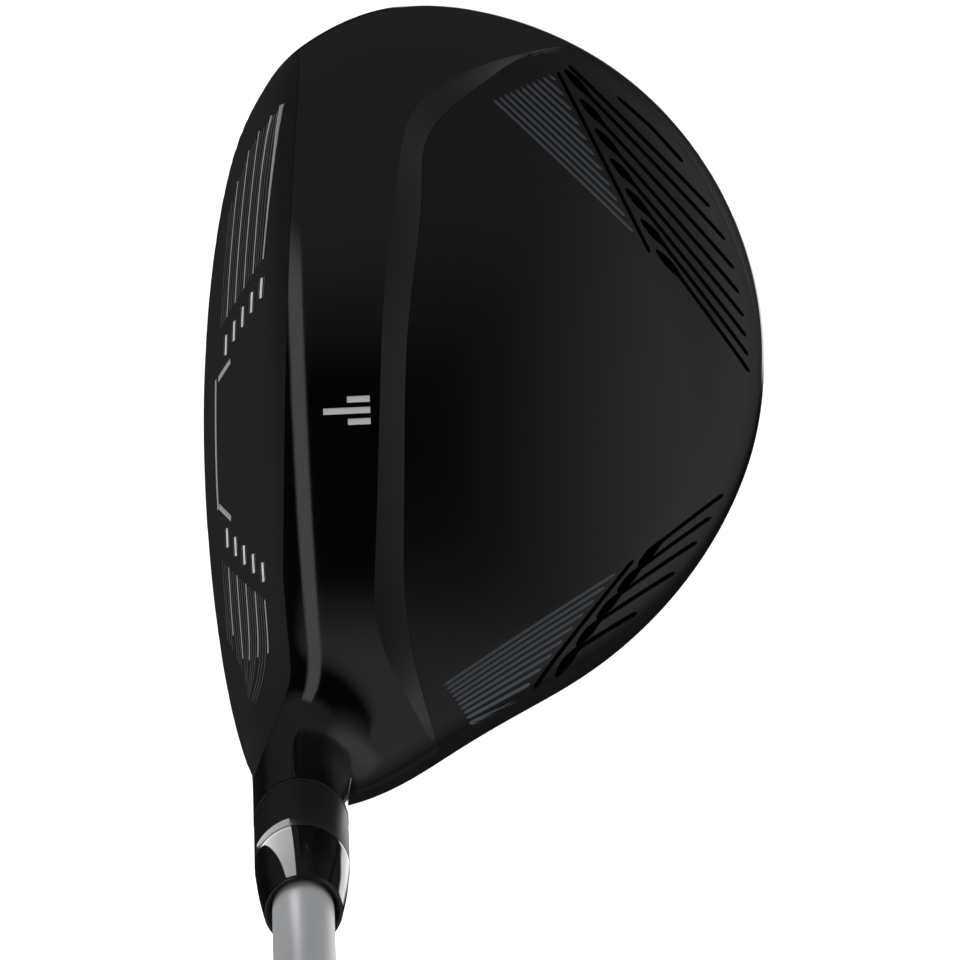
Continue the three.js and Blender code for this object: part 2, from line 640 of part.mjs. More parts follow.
function shaftSleeve() {
  const threadTop = SCREW_TIP + THREAD_RUNOUT;
  const thread = SCREW_RADIUS + THREAD_CLEARANCE;
  const outside = [[SLEEVE_RADIUS - SLEEVE_CHAMFER, SLEEVE_BOTTOM],
    [SLEEVE_RADIUS, SLEEVE_BOTTOM + SLEEVE_CHAMFER], [SLEEVE_RADIUS, COLLAR_FROM],
    [COLLAR_RADIUS, COLLAR_FROM], [COLLAR_RADIUS, COLLAR_TO]];
  const blank = turned([[0, SLEEVE_BOTTOM], ...outside, [0, COLLAR_TO]]);
  const teeth = splineSection(SLEEVE_RADIUS - TOOTH_ROOT, SPLINE_RADIUS, SPLINE_HALF_ANGLE);
  return blank.add(prism(teeth, SPLINE_FROM, SPLINE_TO))
    .subtract(rod(thread, SLEEVE_BOTTOM - OVERRUN, threadTop))
    .subtract(rod(SLEEVE_BORE, threadTop + SLEEVE_WEB, COLLAR_TO + OVERRUN));
}

function ferrule() {
  const from = FERRULE_FROM;
  const to = FERRULE_TO;
  const waist = (COLLAR_RADIUS + FERRULE_END_RADIUS) / 2;
  const rim = FERRULE_END_RADIUS + FERRULE_SWELL;
  const outside = [[COLLAR_RADIUS, from], [COLLAR_RADIUS - FERRULE_SWELL, from + FERRULE_SHOULDER],
    [waist + FERRULE_SWELL, to - FERRULE_SHOULDER], [rim, to - FERRULE_BEVEL_LENGTH],
    [rim - FERRULE_BEVEL, to]];
  const mouth = [SLEEVE_BORE + FERRULE_MOUTH, to];
  return pipe(outside, [[SLEEVE_BORE, from], [SLEEVE_BORE, to - FERRULE_MOUTH_DEPTH], mouth]);
}

function shaft() {
  const middle = (SHAFT_BOTTOM + SHAFT_TOP) / 2;
  const stops = [SHAFT_BOTTOM, SHAFT_BOTTOM + TIP_PARALLEL, middle, GRIP_FROM, SHAFT_TOP];
  const wall = (height) => {
    const share = (height - SHAFT_BOTTOM) / (SHAFT_TOP - SHAFT_BOTTOM);
    return SHAFT_TIP_WALL + (SHAFT_BUTT_WALL - SHAFT_TIP_WALL) * share;
  };
  return pipe(stops.map((t) => [shaftRadius(t), t]), stops.map((t) => [shaftRadius(t) - wall(t), t]));
}

function tipPlug() {
  const radius = TIP_RADIUS - SHAFT_TIP_WALL - BOND_GAP;
  const from = SHAFT_BOTTOM + TIP_PLUG_INSET;
  return rod(radius, from, from + TIP_PLUG_LENGTH);
}

function gripTape() {
  const stops = [GRIP_FROM + TAPE_FROM_MOUTH, SHAFT_TOP];
  const inner = stops.map((t) => [shaftRadius(t) + TAPE_GAP, t]);
  return pipe(inner.map(([r, t]) => [r + TAPE_THICKNESS, t]), inner);
}

function gripRadius(height) {
  const share = (height - GRIP_FROM) / GRIP_LENGTH;
  const wall = GRIP_MOUTH_WALL + (GRIP_BUTT_WALL - GRIP_MOUTH_WALL) * share ** GRIP_TAPER_POWER;
  return gripBore(height) + wall;
}

function gripBore(height) {
  return shaftRadius(height) + 2 * TAPE_GAP + TAPE_THICKNESS;
}

function grip() {
  const mouth = gripRadius(GRIP_FROM);
  const outside = [[mouth - MOUTH_BEVEL, GRIP_FROM], [mouth + LIP_RISE, GRIP_FROM + LIP_FROM],
    [mouth + LIP_RISE, GRIP_FROM + LIP_TO], [mouth, GRIP_FROM + LIP_END]];
  for (let i = 1; i <= GRIP_STEPS; i += 1) {
    const height = GRIP_FROM + LIP_END + ((GRIP_LENGTH - LIP_END) * i) / GRIP_STEPS;
    outside.push([gripRadius(height), height]);
  }
  const stops = [GRIP_FROM, (GRIP_FROM + GRIP_TO) / 2, GRIP_TO];
  return pipe(outside, stops.map((t) => [gripBore(t), t]));
}

function gripCap() {
  const outer = gripRadius(GRIP_TO);
  const vent = VENT_DIAMETER / 2;
  const outside = [[outer, CAP_FROM], [outer, CLUB_LENGTH - CAP_BEVEL_LENGTH],
    [outer - CAP_BEVEL, CLUB_LENGTH]];
  return pipe(outside, [[vent, CAP_FROM], [vent, CLUB_LENGTH]]);
}

// ---------- finishes and scene ----------
const finish = (color, roughness, metalness) => (
  new THREE.MeshStandardMaterial({ color, roughness, metalness })
);
const GLOSS_BLACK = finish('#121316', 0.2, 0.3);
const PANEL_BLACK = finish('#202225', 0.3, 0.1);
const FACE_GREY = finish('#1c1c1d', 0.65, 0.5);
const SATIN_BLACK = finish('#1e1f20', 0.5, 0.6);
const PLASTIC_BLACK = finish('#0c0c0d', 0.15, 0.0);
const STEEL = finish('#8f9194', 0.35, 1.0);
const TUNGSTEN = finish('#5f6062', 0.45, 1.0);
const SHAFT_SILVER = finish('#9a9c9f', 0.3, 0.8);
const RUBBER = finish('#151515', 0.85, 0.0);
const TAPE = finish('#d8d2bf', 0.9, 0.0);
const BRASS = finish('#b08d4a', 0.35, 1.0);

const club = new THREE.Group();

function place(name, solid, material, parent = club) {
  const mesh = new THREE.Mesh(toGeometry(solid), material);
  mesh.name = name;
  parent.add(mesh);
}

place('head_body', headBody(), GLOSS_BLACK);
place('crown_panel', crownPanel(), PANEL_BLACK);
place('face_plate', facePlate(), FACE_GREY);
place('sole_badge', soleBadge(), SATIN_BLACK);

const weightGroup = new THREE.Group();
weightGroup.applyMatrix4(weightPlace);
club.add(weightGroup);
place('sole_weight', soleWeight(), STEEL, weightGroup);
place('weight_core', weightCore(), TUNGSTEN, weightGroup);

const shaftGroup = new THREE.Group();
shaftGroup.applyMatrix4(shaftAxis);
club.add(shaftGroup);
place('hosel_screw', hoselScrew(), STEEL, shaftGroup);
place('screw_washer', screwWasher(), STEEL, shaftGroup);
place('screw_retainer', screwRetainer(), PLASTIC_BLACK, shaftGroup);
place('sleeve_washer', sleeveWasher(), PLASTIC_BLACK, shaftGroup);
place('shaft_sleeve', shaftSleeve(), SATIN_BLACK, shaftGroup);
place('ferrule', ferrule(), PLASTIC_BLACK, shaftGroup);
place('shaft', shaft(), SHAFT_SILVER, shaftGroup);
place('tip_plug', tipPlug(), BRASS, shaftGroup);
place('grip_tape', gripTape(), TAPE, shaftGroup);
place('grip', grip(), RUBBER, shaftGroup);
place('grip_cap', gripCap(), RUBBER, shaftGroup);

export default club;
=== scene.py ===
"""Fairway wood: the finished look of the club, built round its CAD frame.

The file is laid out as an add-on. Each operator builds one piece or one group of like pieces,
and main() runs them in order. Blender objects are in metres; the shape code works in millimetres.
+Z is up, +X points to the back of the head and +Y to its toe, as in the CAD frame.
"""
import json
import math

import bpy
import numpy as np
from bpy.props import FloatProperty, FloatVectorProperty, IntProperty, PointerProperty
from mathutils import Matrix, Vector


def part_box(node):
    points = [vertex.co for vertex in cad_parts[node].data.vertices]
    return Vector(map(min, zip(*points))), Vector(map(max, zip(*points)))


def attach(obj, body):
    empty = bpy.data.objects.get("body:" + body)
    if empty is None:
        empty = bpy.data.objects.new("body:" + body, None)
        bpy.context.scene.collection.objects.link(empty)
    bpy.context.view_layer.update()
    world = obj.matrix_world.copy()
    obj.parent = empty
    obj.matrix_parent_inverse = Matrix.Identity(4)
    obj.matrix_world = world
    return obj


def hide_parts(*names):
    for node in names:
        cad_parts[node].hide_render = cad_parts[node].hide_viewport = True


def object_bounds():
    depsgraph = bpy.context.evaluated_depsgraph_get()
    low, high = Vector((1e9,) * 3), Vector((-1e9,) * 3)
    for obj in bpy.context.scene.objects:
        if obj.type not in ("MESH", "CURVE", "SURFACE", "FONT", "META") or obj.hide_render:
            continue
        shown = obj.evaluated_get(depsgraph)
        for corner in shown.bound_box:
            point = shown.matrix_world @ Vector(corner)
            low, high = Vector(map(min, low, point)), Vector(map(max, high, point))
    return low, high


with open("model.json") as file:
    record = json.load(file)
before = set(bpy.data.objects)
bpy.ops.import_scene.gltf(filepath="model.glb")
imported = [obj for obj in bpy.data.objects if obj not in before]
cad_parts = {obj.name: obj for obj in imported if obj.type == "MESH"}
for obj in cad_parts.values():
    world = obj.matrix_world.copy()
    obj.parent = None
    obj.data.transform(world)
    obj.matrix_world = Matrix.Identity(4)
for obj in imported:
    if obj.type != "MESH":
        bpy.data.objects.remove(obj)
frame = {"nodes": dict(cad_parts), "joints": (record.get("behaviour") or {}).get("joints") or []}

bl_info = {
    "name": "Fairway Wood",
    "version": (1, 0, 0),
    "blender": (4, 5, 0),
    "location": "3D View > Sidebar > Club",
    "description": "Builds the finished pieces of a fairway wood round its CAD frame",
    "category": "Add Mesh",
}

MM = 0.001
CAD_BOX = [list(corner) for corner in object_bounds()]


# ---------- places read from the frame ----------
def joint(name):
    """The record's row for one joint."""
    return next(row for row in frame["joints"] if row["name"] == name)


def placed_on(origin, direction):
    """A matrix that turns +Z to a direction and moves the origin there, in millimetres."""
    turn = Vector(direction).to_track_quat("Z", "X").to_matrix().to_4x4()
    return np.array(Matrix.Translation(Vector(origin)) @ turn)


def node_points(name):
    """A CAD node's corners, in millimetres."""
    mesh = frame["nodes"][name].data
    points = np.empty(len(mesh.vertices) * 3, np.float32)
    mesh.vertices.foreach_get("co", points)
    return points.reshape(-1, 3).astype(float) / MM


def along(points, place):
    """Height along an axis and distance from it."""
    local = (points - place[:3, 3]) @ place[:3, :3]
    return local[:, 2], np.hypot(local[:, 0], local[:, 1])


def reach(name, place):
    """Where a CAD node starts and ends along an axis, and its largest radius."""
    height, radius = along(node_points(name), place)
    return float(height.min()), float(height.max()), float(radius.max())


SHAFT_DIRECTION = np.array(joint("sleeve_index")["axis"])
SHAFT_POINT = np.array(joint("sleeve_index")["pos_m"]) / MM
SHAFT_FOOT = SHAFT_POINT - SHAFT_DIRECTION * (SHAFT_POINT[2] / SHAFT_DIRECTION[2])
SHAFT = placed_on(SHAFT_FOOT, SHAFT_DIRECTION)
WEIGHT_POINT = np.array(joint("sole_weight_turn")["pos_m"]) / MM
WEIGHT = placed_on(WEIGHT_POINT, joint("sole_weight_turn")["axis"])
WASHER = reach("sleeve_washer", SHAFT)
FERRULE = reach("ferrule", SHAFT)
SHAFT_REACH = reach("shaft", SHAFT)
GRIP_REACH = reach("grip", SHAFT)
CAP_REACH = reach("grip_cap", SHAFT)


# ---------- sizes and colours that a user may change ----------
def linear(hex_colour):
    """An sRGB hex colour as linear red, green, blue and alpha."""
    parts = [int(hex_colour[i:i + 2], 16) / 255 for i in (1, 3, 5)]
    return tuple(p / 12.92 if p <= 0.04045 else ((p + 0.055) / 1.055) ** 2.4 for p in parts) + (1.0,)


def size(label, text, millimetres):
    """A length property whose default is given in millimetres."""
    return FloatProperty(name=label, description=text, default=millimetres * MM, min=0.0, precision=5,
                         subtype="DISTANCE", unit="LENGTH")


def colour(label, text, hex_colour):
    """A colour property whose default is given as an sRGB hex colour."""
    return FloatVectorProperty(name=label, description=text, default=linear(hex_colour), size=4, min=0.0,
                               max=1.0, subtype="COLOR")


def in_mm(length):
    """A length property's value in millimetres, without single precision's stray digits."""
    return round(length / MM, 4)


class HeadSizes(bpy.types.PropertyGroup):
    """Sizes of the head."""

    fineness: size("Fineness", "Edge length of the head's fine surface", 1.0)
    wall: size("Wall", "Thickness of the body's wall", 1.4)
    panel_wall: size("Panel wall", "Thickness of the crown panel", 0.9)
    step: size("Step", "How far the crown panel lies below the front strip", 1.0)
    seam: size("Seam", "Width of the groove between two bonded pieces", 0.06)


class PrintSizes(bpy.types.PropertyGroup):
    """Sizes of the lines printed on the head."""

    line: size("Line", "Width of the black lines", 0.46)
    bead: size("Bead", "Width of a black line's thick head", 1.05)
    bead_length: size("Bead length", "Length of a black line's thick head", 5.2)
    stripe: size("Stripe", "Width of the pale stripes", 0.42)
    score: size("Score line", "Width of the main lines on the face", 0.42)
    fine_score: size("Fine score line", "Width of the fine lines on the face", 0.16)
    ink: size("Ink", "Thickness of the print", 0.03)
    lift: size("Lift", "How far the print stands clear of the surface under it", 0.06)


class FittingSizes(bpy.types.PropertyGroup):
    """Sizes of the pieces on the shaft axis."""

    splines: IntProperty(name="Splines", description="Teeth round the shaft sleeve", default=12, min=3)
    thread: size("Thread pitch", "Rise of the screw's thread in one turn", 0.8)
    grip_rows: IntProperty(name="Grip rows", description="Rings of diamonds on the grip", default=62, min=1)
    grip_columns: IntProperty(name="Grip columns", description="Diamonds round the grip", default=16, min=3)


class Colours(bpy.types.PropertyGroup):
    """Colours of the finishes."""

    lacquer: colour("Lacquer", "Body of the head", "#050506")
    panel: colour("Panel", "Crown panel", "#040405")
    band: colour("Band", "Satin band along the front of the crown panel", "#343436")
    face: colour("Face", "Blasted face", "#1b1b1c")
    print_black: colour("Black print", "Black lines on the crown", "#010101")
    print_pale: colour("Pale print", "Pale stripes on the crown", "#41474d")
    mark: colour("Mark", "Alignment mark", "#f2f3f3")
    score: colour("Score lines", "Main lines on the face", "#a4a6a8")
    dash: colour("Score dashes", "Short thick lines on the face", "#ffffff")
    fine_score: colour("Fine score lines", "Fine lines on the face", "#5c5e60")
    sleeve: colour("Sleeve", "Collar of the shaft sleeve", "#161617")
    ferrule: colour("Ferrule", "Ferrule", "#050505")
    shaft: colour("Shaft", "Metallic shaft", "#b4b6b9")
    rubber: colour("Rubber", "Grip and its cap", "#17181a")
    floor: colour("Floor", "Studio floor", "#f4f4f3")


# ---------- materials ----------
def add(tree, kind, inputs=None, **settings):
    """Adds a node. inputs gives a socket, by its name or place, a value or the node or socket that feeds it."""
    node = tree.nodes.new(kind)
    for name, value in settings.items():
        setattr(node, name, value)
    for socket, value in (inputs or {}).items():
        if isinstance(value, bpy.types.Node):
            value = value.outputs[0]
        if isinstance(value, bpy.types.NodeSocket):
            tree.links.new(value, node.inputs[socket])
        else:
            node.inputs[socket].default_value = value
    return node


def finish(name, base, roughness, metallic=0.0, **sockets):
    """A material with one principled shader. Returns it with its tree and shader."""
    material = bpy.data.materials.new(name)
    material.use_nodes = True
    tree = material.node_tree
    tree.nodes.clear()
    values = {"Base Color": base, "Roughness": roughness, "Metallic": metallic}
    values.update({key.replace("_", " "): value for key, value in sockets.items()})
    shader = add(tree, "ShaderNodeBsdfPrincipled", values)
    add(tree, "ShaderNodeOutputMaterial", {"Surface": shader.outputs["BSDF"]})
    return material, tree, shader


def grain(tree, grain_size, detail=2.0, stretch=(1.0, 1.0, 1.0)):
    """Noise in object space whose blobs have a real size in millimetres."""
    place = add(tree, "ShaderNodeTexCoord").outputs["Object"]
    scale = add(tree, "ShaderNodeMapping", {"Vector": place, "Scale": stretch})
    values = {"Vector": scale, "Scale": 1 / (grain_size * MM), "Detail": detail}
    return add(tree, "ShaderNodeTexNoise", values).outputs["Fac"]


def varied(tree, shader, pattern, tint=None, roughness=None, depth=0.0):
    """Lets a 0 to 1 pattern vary a finish: from one colour to another, from one roughness to another,
    and in height by a depth in millimetres."""
    if tint:
        blend = add(tree, "ShaderNodeMix", {"Factor": pattern, 6: tint[0], 7: tint[1]}, data_type="RGBA")
        tree.links.new(blend.outputs[2], shader.inputs["Base Color"])
    if roughness:
        low, high = roughness
        spread = add(tree, "ShaderNodeMapRange", {"Value": pattern, "To Min": low, "To Max": high})
        tree.links.new(spread.outputs["Result"], shader.inputs["Roughness"])
    if depth:
        bump = add(tree, "ShaderNodeBump", {"Height": pattern, "Distance": depth * MM, "Strength": 1.0})
        tree.links.new(bump.outputs["Normal"], shader.inputs["Normal"])


def lighter(base, amount):
    """A linear colour moved towards white by a share, on the sRGB scale that the eye follows."""
    seen = [level * 12.92 if level <= 0.0031308 else 1.055 * level ** (1 / 2.4) - 0.055 for level in base[:3]]
    return linear("#" + "".join(f"{round(255 * (level + (1 - level) * amount)):02x}" for level in seen))


def gloss_lacquer(base):
    """Sprayed black lacquer over cast steel: deep and wet, with a hint of orange peel 2.5 mm across."""
    material, tree, shader = finish("gloss_lacquer_over_cast_steel", base, 0.09, Coat_Weight=0.3,
                                    Coat_Roughness=0.05)
    varied(tree, shader, grain(tree, 6.0), roughness=(0.07, 0.12))
    varied(tree, shader, grain(tree, 2.5, 0.0), depth=0.0006)
    return material


def satin_composite(base):
    """Clear-coated carbon composite, moulded: satin, so lights in it have soft edges; 0.3 mm flecks."""
    material, tree, shader = finish("satin_moulded_carbon_composite", base, 0.2)
    varied(tree, shader, grain(tree, 0.3, 3.0), tint=(base, lighter(base, 0.012)))
    varied(tree, shader, grain(tree, 9.0), roughness=(0.18, 0.23))
    varied(tree, shader, grain(tree, 0.35), depth=0.0004)
    return material


def satin_band(base):
    """Masked satin enamel: an even charcoal that hardly mirrors anything; 0.2 mm spray grain."""
    material, tree, shader = finish("satin_sprayed_enamel", base, 0.7, Specular_IOR_Level=0.12)
    varied(tree, shader, grain(tree, 0.25), tint=(base, lighter(base, 0.02)))
    varied(tree, shader, grain(tree, 0.2), depth=0.0006)
    return material


def blasted_face(base):
    """Maraging steel, grit blasted and blackened: dull, even, with a 0.15 mm peppered grain."""
    material, tree, shader = finish("blasted_black_maraging_steel", base, 0.75, Specular_IOR_Level=0.2)
    varied(tree, shader, grain(tree, 0.15, 4.0), tint=(base, lighter(base, 0.03)), depth=0.004)
    return material


def printed_ink(name, base, roughness, sheen):
    """Pad-printed ink: flat colour with a faint mottle where the film is thinner."""
    material, tree, shader = finish(name, base, roughness, Specular_IOR_Level=sheen)
    film = grain(tree, 0.5)
    varied(tree, shader, film, tint=(base, lighter(base, 0.02)), roughness=(roughness, roughness + 0.08))
    return material


def anodised_sleeve(base):
    """Turned aluminium, bead blasted and anodised black: satin, with a 0.12 mm grain."""
    material, tree, shader = finish("anodised_aluminium_black", base, 0.42, Specular_IOR_Level=0.5)
    varied(tree, shader, grain(tree, 0.5), roughness=(0.38, 0.48))
    varied(tree, shader, grain(tree, 0.12), depth=0.0012)
    return material


def polished_ferrule(base):
    """Turned and acetone-polished cellulose acetate: a hard gloss, slightly uneven every 3 mm."""
    material, tree, shader = finish("polished_moulded_ferrule", base, 0.06)
    varied(tree, shader, grain(tree, 3.0), roughness=(0.05, 0.09))
    return material


def metallic_shaft(base):
    """Carbon shaft in silver metallic lacquer: a soft metal sheen with flakes drawn 0.15 mm across."""
    material, tree, shader = finish("silver_metallic_lacquered_carbon", base, 0.4, 0.1)
    varied(tree, shader, grain(tree, 0.15, 3.0), tint=(base, lighter(base, 0.25)), roughness=(0.36, 0.46))
    return material


def moulded_rubber(base):
    """Moulded rubber: nearly matte, slightly mottled, with a 0.4 mm pebble."""
    material, tree, shader = finish("moulded_grip_rubber", base, 0.8, Specular_IOR_Level=0.3)
    varied(tree, shader, grain(tree, 8.0), tint=(base, lighter(base, 0.04)))
    varied(tree, shader, grain(tree, 0.4, 3.0), depth=0.02)
    return material


def machined_metal(name, hex_colour, roughness, lay=(1.0, 1.0, 1.0)):
    """Turned bare metal: tool marks a few tenths of a millimetre apart, stretched round the turn by lay."""
    base = linear(hex_colour)
    material, tree, shader = finish(name, base, roughness, 1.0)
    varied(tree, shader, grain(tree, 1.5), tint=(base, lighter(base, 0.1)))
    marks = grain(tree, 0.25, 2.0, lay)
    varied(tree, shader, marks, roughness=(roughness - 0.06, roughness + 0.1), depth=0.002)
    return material


def plain_moulding(name, hex_colour, roughness):
    """A small moulding or tape: an even colour with a faint mottle and a 0.3 mm grain."""
    base = linear(hex_colour)
    material, tree, shader = finish(name, base, roughness)
    varied(tree, shader, grain(tree, 2.0), tint=(base, lighter(base, 0.05)))
    varied(tree, shader, grain(tree, 0.3), depth=0.003)
    return material


# ---------- smooth lines ----------
class Cubic:
    """A smooth curve through values at rising knots. It closes on itself when a period is given."""

    def __init__(self, knots, values, period=None):
        self.period = period
        if period:
            knots = np.append(knots, knots[0] + period)
            values = np.append(values, values[0])
        self.knots = np.asarray(knots, float)
        self.values = np.asarray(values, float)
        self.gaps = np.diff(self.knots)
        slopes = np.diff(self.values) / self.gaps
        system = np.eye(len(self.knots))
        right = np.zeros(len(self.knots))
        for i in range(1, len(self.knots) - 1):
            before, after = self.gaps[i - 1], self.gaps[i]
            system[i, i - 1:i + 2] = before, 2 * (before + after), after
            right[i] = 6 * (slopes[i] - slopes[i - 1])
        if period:
            first, last = self.gaps[0], self.gaps[-1]
            system[0, -1] = -1
            system[-1, [0, 1, -2, -1]] = 2 * first, first, last, 2 * last
            right[-1] = 6 * (slopes[0] - slopes[-1])
        self.bends = np.linalg.solve(system, right)

    def __call__(self, at):
        """Value and slope. Past its ends an open curve goes straight on."""
        inside = at
        if self.period:
            inside = (at - self.knots[0]) % self.period + self.knots[0]
        else:
            inside = np.clip(at, self.knots[0], self.knots[-1])
        i = np.clip(np.searchsorted(self.knots, inside, "right") - 1, 0, len(self.gaps) - 1)
        gap = self.gaps[i]
        b = (inside - self.knots[i]) / gap
        a = 1 - b
        bend = (a ** 3 - a) * self.bends[i] + (b ** 3 - b) * self.bends[i + 1]
        value = a * self.values[i] + b * self.values[i + 1] + bend * gap ** 2 / 6
        turn = (3 * b * b - 1) * self.bends[i + 1] - (3 * a * a - 1) * self.bends[i]
        slope = (self.values[i + 1] - self.values[i]) / gap + turn * gap / 6
        if not self.period:
            value = value + slope * (at - inside)
        return value, slope


def joined(a, b, blend):
    """The larger of two fields, with the corner between them rounded."""
    overlap = np.maximum(blend - np.abs(a - b), 0) / blend
    return np.maximum(a, b) + overlap ** 3 * blend / 6


# ---------- the head's outer form ----------
POLE = (12.0, 5.0)
OUTLINE = [
    (6.4, 64.4), (22.2, 63.3), (39.4, 54.7), (51.9, 40.0), (58.4, 18.7), (56.0, -1.6), (45.5, -20.0),
    (29.2, -33.4), (11.0, -43.2), (-8.0, -50.0), (-20.0, -42.9), (-27.0, -20.0), (-32.0, 5.0),
    (-29.0, 30.0), (-17.8, 46.9), (-6.1, 58.6),
]
CROWN_HEIGHT = 39.0
CROWN_TOP_X = 2.0
CROWN_TOP_Y = -4.0
CROWN_ROLL = 9.0
SOLE_ROLL = 14.0
SOLE_FLAT = 6.0
LOFT = math.radians(17.0)
FACE_ANGLE = math.radians(1.02)
LEADING_EDGE = (-22.12, 3.0)
FACE_BULGE = 280.0
FACE_ROLL = 300.0
FACE_MIDDLE = (2.0, 19.0)
TOPLINE_ROLL = 6.0
LEADING_ROLL = 3.0
NECK_RADIUS = 6.6
NECK_BLEND = 11.0
NECK_START = 22.0
SKIRT_HEIGHT = 16.0
SKIRT_SLOPE = 0.05
PANEL_RIM = 0.75
PANEL_FADE = 9.0
NARROWEST_BAND = 0.4
# the face plate's edge: how far it lies behind the face, and how that shrinks to the toe
FACE_DEPTH = 1.2
FACE_DEPTH_FALL = 0.04
FACE_DEPTH_FROM = -20.0
# the straight cut before the neck: a point on it and its outward direction
FACE_HEEL = (-12.0, -37.9)
FACE_HEEL_OUT = (0.927, -0.376)
# the low edge: its height, and how it curves up beyond a distance to the toe
FACE_LOW = 2.5
FACE_LOW_CURVE = 0.008
FACE_LOW_FROM = 16.0
FACE_CORNER = 2.0
CROWN_FALL_BACK = 0.0054
CROWN_FALL_FRONT = 0.0022
CROWN_FALL_SIDE = 0.0036
HEEL_FALL_SHARE = 0.7
SOLE_RISE_BACK = 0.0034
SOLE_RISE_SIDE = 0.0030
NECK_FOOT_BLEND = 8.0
# the fields' slopes, which turn a height into a distance
CROWN_SLOPE = 1.12
SOLE_SLOPE = 1.08
# the satin band's two edges, as (distance back, distance to the toe), heel end first
BAND_FRONT = [
    (16.0, -60.0), (8.4, -43.5), (4.2, -35.4), (2.1, -29.8), (1.8, -18.6), (3.4, 3.9), (5.0, 22.2),
    (7.5, 38.5), (10.4, 47.4), (18.3, 53.1), (29.2, 56.5), (46.0, 60.0),
]
BAND_REAR = [
    (16.2, -60.0), (9.2, -43.0), (7.2, -35.5), (5.8, -24.4), (6.2, -10.0), (8.2, 17.8), (10.6, 35.5),
    (13.1, 45.1), (21.4, 52.3), (29.2, 56.3), (46.0, 59.8),
]


def closed_outline():
    """The head's outline as a radius over the angle round the pole."""
    offsets = np.array(OUTLINE) - POLE
    angles = np.mod(np.arctan2(offsets[:, 1], offsets[:, 0]), 2 * math.pi)
    order = np.argsort(angles)
    return Cubic(angles[order], np.hypot(*offsets.T)[order], 2 * math.pi)


def side_line(points):
    """A line across the head, as a distance back over the distance to the toe."""
    back, toe = np.array(points).T
    return Cubic(toe, back)


outline = closed_outline()
band_front = side_line(BAND_FRONT)
band_rear = side_line(BAND_REAR)


def outside_outline(x, y):
    """Distance outside the outline, seen from above."""
    dx, dy = x - POLE[0], y - POLE[1]
    radius, slope = outline(np.mod(np.arctan2(dy, dx), 2 * math.pi))
    return (np.hypot(dx, dy) - radius) / np.sqrt(1 + (slope / radius) ** 2)


def crown_height(x, y):
    """The crown before its edges are rolled over."""
    back = np.maximum(x - CROWN_TOP_X, 0)
    front = np.maximum(CROWN_TOP_X - x, 0)
    side = (y - CROWN_TOP_Y) ** 2 * np.where(y > CROWN_TOP_Y, 1.0, HEEL_FALL_SHARE)
    fall = CROWN_FALL_BACK * back ** 2 + CROWN_FALL_FRONT * front ** 2 + CROWN_FALL_SIDE * side
    return CROWN_HEIGHT - fall


def sole_height(x, y):
    """The sole, with a flat pad in its middle."""
    back = np.maximum(np.abs(x - CROWN_TOP_X) - SOLE_FLAT, 0)
    side = np.maximum(np.abs(y) - SOLE_FLAT, 0)
    return SOLE_RISE_BACK * back ** 2 + SOLE_RISE_SIDE * side ** 2


def before_face(points):
    """Distance in front of the striking face, which bulges heel to toe and rolls top to bottom."""
    x, y, z = points.T
    roll = ((z - FACE_MIDDLE[1]) ** 2 - (LEADING_EDGE[1] - FACE_MIDDLE[1]) ** 2) / (2 * FACE_ROLL)
    bulge = (y - FACE_MIDDLE[0]) ** 2 / (2 * FACE_BULGE)
    slant = math.tan(LOFT) * (z - LEADING_EDGE[1]) + math.tan(FACE_ANGLE) * y
    return (LEADING_EDGE[0] + slant + bulge + roll - x) * math.cos(LOFT)


def head_field(points):
    """Signed distance, roughly, outside the head and its open-topped neck."""
    x, y, z = points.T
    side = outside_outline(x, y)
    face = before_face(points)
    above = joined(joined((z - crown_height(x, y)) / CROWN_SLOPE, side, CROWN_ROLL), face, TOPLINE_ROLL)
    below = joined(joined((sole_height(x, y) - z) / SOLE_SLOPE, side, SOLE_ROLL), face, LEADING_ROLL)
    height, radius = along(points, SHAFT)
    neck = joined(radius - NECK_RADIUS, NECK_START - height, NECK_FOOT_BLEND)
    return -joined(-np.maximum(above, below), -neck, NECK_BLEND)


def gradient(field, points, reach_mm=0.02):
    """The field's slope, by central differences."""
    slopes = []
    for k in range(3):
        offset = np.zeros(3)
        offset[k] = reach_mm
        slopes.append((field(points + offset) - field(points - offset)) / (2 * reach_mm))
    return np.stack(slopes, 1)


def unit(vectors):
    """Vectors scaled to length 1."""
    return vectors / np.maximum(np.linalg.norm(vectors, axis=1, keepdims=True), 1e-12)


